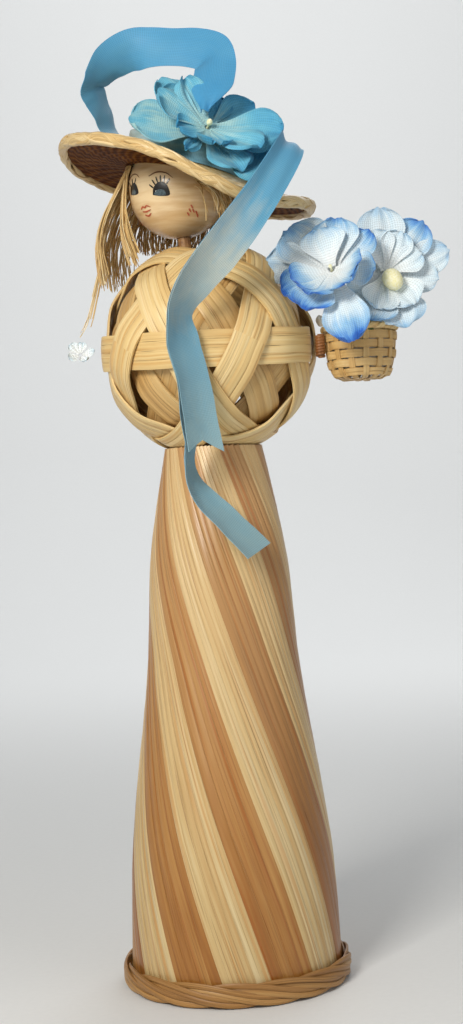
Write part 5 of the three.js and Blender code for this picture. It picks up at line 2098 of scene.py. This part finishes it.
    def glue(self) -> None:
        """A run of milky glue in the corner between the ball and the basket's rim."""
        low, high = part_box("basket_glue")
        centre = TO_SHARED.inverted() @ ((Vector(low) + Vector(high)) / 2.0)
        form = Form()
        bmesh.ops.create_icosphere(form.bm, subdivisions=4, radius=self.glue_radius)
        for vert in form.bm.verts:
            lump = 0.86 + 0.2 * noise.noise(vert.co * 0.55)
            sag = 0.35 * max(0.0, -vert.co.z / self.glue_radius)
            vert.co = vert.co * lump + Vector((0.0, 0.0, -sag)) + centre
        materials = [self.finishes.glue]
        form.finish("basket_glue_run", materials, Body.FIGURE, Slot.CLEAR_GLUE, ["basket_glue"], 80.0)

    def stem(self, bloom: Bloom) -> None:
        """A wrapped wire from the filling to the back of a flower.

        Args:
            bloom: The flower that it carries.
        """
        base = Vector((bloom.foot, 0.0, self.height - self.fill_depth - self.stem_sink))
        end = Vector(bloom.place) - bloom.way * (2.0 + GLUE_GAP)
        points = [base, base + UP * (self.stem_sink + 1.5), Vector(bloom.sway), end - bloom.way * 2.5, end]
        path = Route(points).run(self.stem_steps)
        form = Form()
        diameter = 2.0 * self.stem_radius
        outs = [Vector((0.0, -1.0, 0.2)).normalized()] * len(path)
        rng = Random(SEED + 6)
        form.strip(path, outs, [diameter] * len(path), diameter, rng, sides=12, fullness=1.0)
        form.move(self.frame)
        name = f"{bloom.name}_stem"
        form.finish(f"{name}_wire", [self.finishes.stem], Body.FIGURE, Slot.STEM_WIRE, [name])


@dataclass
class Bouquet:
    """The cloth flowers: two in the basket, one on the hat and the little blossom in the hair."""

    finishes: Finishes
    hat: Hat
    basket: Basket
    hair: Hair
    blooms: tuple[Bloom, ...] = (
        Bloom(
            "flower_a", place=(-6.2, -12.0, 30.6), looks=(-0.1, -0.9, 0.4), sway=(-4.0, -0.5, 20.0),
            foot=-3.0,
            outer=(
                Petal(126, 19, 18, 3, dip=0.8), Petal(160, 20, 14, 1, dip=0.66),
                Petal(205, 15, 14, 4, dip=1.1), Petal(238, 15, 14, 5, dip=1.1),
                Petal(280, 25, 14, 3, 1.2, 1.05), Petal(80, 16, 15, 3, dip=0.85),
                Petal(44, 16, 13, 0.5, dip=0.95), Petal(352, 12, 12, 2, dip=0.85),
            ),
            inner=(
                Petal(205, 11, 12, 7, 1.0, 1.05), Petal(240, 12, 12, 7.5, 1.0, 1.05),
                Petal(300, 11, 11, 8.5, 1.0, 0.95), Petal(338, 9.5, 10, 8.5, 1.0, 0.95),
                Petal(100, 12, 14, 3, dip=0.72),
            ),
            knob=0.6,
        ),
        Bloom(
            "flower_b", place=(8.2, -0.4, 30.6), looks=(0.25, -0.93, 0.2), sway=(4.6, 2.6, 20.0), foot=3.0,
            outer=(
                Petal(108, 19, 15, 4, dip=0.62), Petal(66, 19, 13, 3, dip=0.92),
                Petal(34, 20, 11, 2, dip=0.6), Petal(8, 15, 10, 2, dip=0.55),
                Petal(298, 17, 17, 4, dip=0.66), Petal(262, 16, 14, 6, dip=0.8),
                Petal(150, 13, 12, 2, dip=0.8), Petal(212, 12, 12, 3, dip=0.7),
            ),
            inner=(
                Petal(120, 12, 11, 3, dip=0.55), Petal(82, 12, 10, 3, dip=0.6),
                Petal(40, 11, 9, 2.5, dip=0.55), Petal(318, 12, 12, 3, dip=0.55),
                Petal(265, 12, 12, 3.5, dip=0.6),
            ),
            knob=3.0, lean=(0.5, -0.72, 0.5),
        ),
    )
    hat_turn: float = -80.0
    hat_rise: float = 35.0
    hat_height: float = 9.3
    hat_sink: float = 0.9
    hat_knob: float = 0.9
    band_thickness: float = 0.4
    hat_outer: tuple[Petal, ...] = (
        Petal(200, 22, 18, 1, 1.2, 0.3), Petal(150, 20, 15, 3, 1.8, 0.45), Petal(100, 15, 14, 1, 1.2, 0.9),
        Petal(54, 19, 15, 1, 1.8, 0.9), Petal(24, 19, 10, 1.5, 1.4, 1.0), Petal(346, 25, 24, 3, 2.6, 0.75),
        Petal(314, 18.5, 15, 4.5, 2.2, 0.65), Petal(256, 12.5, 5, 3, 0.5, 0.9),
    )
    hat_inner: tuple[Petal, ...] = (
        Petal(176, 16, 15, 5, 2.2, 0.5), Petal(136, 15, 12, 4.5, 2.0, 0.5), Petal(8, 20, 18, 6, 2.8, 0.8),
        Petal(334, 17, 14, 8, 2.2, 0.7), Petal(226, 10, 9, 3, 1.2, 1.0), Petal(290, 12, 11, 7, 1.8, 0.85),
    )
    tuft_place: Triple = (-32.5, 10.5, -47.3)
    tuft_lean: float = 60.0
    tuft_petals: int = 5
    tuft_stray: float = 12.0
    tuft_lengths: Pair = (3.0, 4.2)
    tuft_width: float = 3.6
    tuft_hole: float = 0.8
    tuft_cloth: float = 0.12
    tuft_cut: float = 10.0

    def build(self) -> None:
        """Builds all four flowers and the wires."""
        for bloom in self.blooms:
            frame = self.basket.frame @ facing(Vector(bloom.place), bloom.way)
            flower = ClothFlower(
                self.finishes, bloom.name, frame, Body.FIGURE, Slot.WHITE_PETAL, bloom.outer, bloom.inner,
                bloom.knob, bloom.lean,
            )
            flower.build(self.finishes.white_petal, f"{bloom.name}_stem_wire")
        for bloom in self.blooms:
            self.basket.stem(bloom)
        self.on_hat()
        self.in_hair()

    def on_hat(self) -> None:
        """The turquoise flower on the front of the crown."""
        turn, rise = radians(self.hat_turn), radians(self.hat_rise)
        way = Vector((cos(turn) * cos(rise), sin(turn) * cos(rise), sin(rise)))
        wall = self.hat.crown_radius + 2.0 * GLUE_GAP + self.band_thickness + self.hat_sink * sin(rise)
        at = polar(wall, self.hat_turn, self.hat_height) + way * ClothFlower.back
        flower = ClothFlower(
            self.finishes, "hat_flower", self.hat.frame @ facing(at, way), Body.HEAD, Slot.BLUE_PETAL,
            self.hat_outer, self.hat_inner, self.hat_knob,
        )
        flower.build(self.finishes.blue_petal, "ribbon_band_pleats")

    def in_hair(self) -> None:
        """The little gauze blossom on the end of the long fibre."""
        at = self.hair.head.centre + Vector(self.tuft_place)
        frame = Matrix.Translation(at) @ Matrix.Rotation(radians(self.tuft_lean), 4, "X")
        rng = Random(SEED + 7)
        petals = []
        for k in range(self.tuft_petals):
            turn = 360.0 / self.tuft_petals * k + rng.uniform(-self.tuft_stray, self.tuft_stray)
            length = rng.uniform(*self.tuft_lengths)
            petals.append(Petal(turn, length, self.tuft_width, rise=1.4, ripple=0.4, dip=0.5))
        flower = ClothFlower(
            self.finishes, "hair_tuft", frame, Body.HEAD, Slot.WHITE_PETAL, tuple(petals), (), 0.0,
            hole=self.tuft_hole, cloth=self.tuft_cloth,
        )
        form = Form()
        area = sum(flower.petal(form, petal, 0.1, rng) for petal in petals)
        form.move(frame)
        materials = [self.finishes.white_petal]
        piece = form.finish("hair_tuft_blossom", materials, Body.HEAD, Slot.WHITE_PETAL, ["hair_tuft"], 70)


@dataclass
class Studio:
    """A plain pale sweep, soft light from the upper left, and the camera at the photograph's angle."""

    eye: Vector = field(default_factory=lambda: Vector((4.5, -480.0, 139.0)))
    roll: float = -2.7
    lens: float = 56.25
    sensor: float = 36.0
    room: str = "#EEEDEA"
    room_light: float = 0.33

    def build(self) -> None:
        """Sets up the floor, the lights and the camera."""
        self.sweep()
        doll, wall = Vector((0.0, 0.0, 0.15)), Vector((0.0, 2.0, 0.6))
        self.lamp("key", (-0.22, -0.45, 0.37), doll, size=0.16, power=2.35, colour=(1.0, 0.96, 0.89))
        self.lamp("fill", (0.8, -0.7, 0.45), doll, size=0.9, power=1.5, colour=(0.97, 0.98, 1.0))
        self.lamp("back", (0.3, 0.8, 0.9), doll, size=0.6, power=2.5, colour=(1.0, 1.0, 1.0))
        self.lamp("wall", (0.0, 0.9, 1.3), wall, size=1.2, power=12.0, colour=(1.0, 1.0, 1.0))
        world = bpy.data.worlds.new("studio")
        world.use_nodes = True
        background = world.node_tree.nodes["Background"]
        background.inputs["Color"].default_value = linear(self.room)
        background.inputs["Strength"].default_value = self.room_light
        bpy.context.scene.world = world
        bpy.context.scene.view_settings.view_transform = "Standard"
        camera = bpy.data.cameras.new("photograph")
        camera.lens, camera.sensor_width = self.lens, self.sensor
        camera.clip_start = 0.01
        seat = place_in_scene("photograph", camera)
        level = Matrix.Rotation(radians(90.0), 4, "X")
        turn = Matrix.Rotation(radians(self.roll), 4, "Z")
        seat.matrix_world = Matrix.Translation((self.eye + STAND) * MM) @ level @ turn
        bpy.context.scene.camera = seat

    @staticmethod
    def sweep() -> None:
        """A pale floor that curves up behind."""
        bm = bmesh.new()
        bmesh.ops.create_grid(bm, x_segments=1, y_segments=1, size=2.0)
        back = [edge for edge in bm.edges if all(vert.co.y > 1.9 for vert in edge.verts)]
        raised = bmesh.ops.extrude_edge_only(bm, edges=back)["geom"]
        tops = [part for part in raised if isinstance(part, bmesh.types.BMVert)]
        bmesh.ops.translate(bm, verts=tops, vec=(0.0, 0.0, 3.0))
        bend = [e for e in bm.edges if all(abs(v.co.z) < 1e-6 and v.co.y > 1.9 for v in e.verts)]
        bmesh.ops.bevel(bm, geom=bend, offset=1.0, affect="EDGES", segments=16, profile=0.5, material=-1)
        mesh = bpy.data.meshes.new("paper_sweep")
        bm.to_mesh(mesh)
        bm.free()
        mesh.shade_smooth()
        # Paper, uncoated: pale grey and matt, so that the doll's shadow is soft
        paper = PlainFinish("matt_paper", "#E3E5E6", "#E5E7E8", mark=2.0, roughness=0.9, depth=0.01)
        mesh.materials.append(paper.material())
        place_in_scene("paper_sweep", mesh)

    @staticmethod
    def lamp(
        name: str, at: Triple, target: Vector, size: float, power: float, colour: Triple
    ) -> None:
        """A square soft light.

        Args:
            name: What it is for.
            at: Where it stands, in metres.
            target: Where it looks.
            size: Its side in metres.
            power: Its power in watts.
            colour: Its linear colour.
        """
        light = bpy.data.lights.new(name, "AREA")
        light.size, light.energy, light.color = size, power, colour
        lamp = place_in_scene(name, light)
        way = target - Vector(at)
        lamp.visible_camera = False
        lamp.matrix_world = Matrix.Translation(at) @ way.to_track_quat("-Z", "Y").to_matrix().to_4x4()


def dress_solids(frame: dict, finishes: Finishes) -> None:
    """Gives the CAD nodes that stay their materials.

    Args:
        frame: The loaded frame.
        finishes: The doll's materials.
    """
    wood, glue = finishes.wood, finishes.glue
    # The plug and the peg take the darker beech: painted shade for the peg between bead and ball
    kept = {"base_hoop": finishes.core, "skirt_plug": wood, "neck_peg": wood, "basket_filling": glue}
    for name, material in kept.items():
        mesh = frame["nodes"][name].data
        mesh.materials.clear()
        mesh.materials.append(material)
        LOG.info("%s keeps its solid", name)


def main() -> None:
    """Builds the doll in order."""
    logging.basicConfig(level=logging.INFO, format="%(message)s")
    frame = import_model()
    finishes = Finishes()
    dress_solids(frame, finishes)
    Skirt(finishes).build()
    ball = WovenBall(finishes)
    ball.build()
    head = Head(finishes, ball)
    head.build()
    hat = Hat(finishes, head)
    hat.build()
    hair = Hair(finishes, head, hat)
    hair.build(frame)
    Ribbon(finishes, hat, ball).build()
    basket = Basket(finishes, ball)
    basket.build()
    Bouquet(finishes, hat, basket, hair).build()
    Studio().build()


if __name__ == "__main__":
    main()
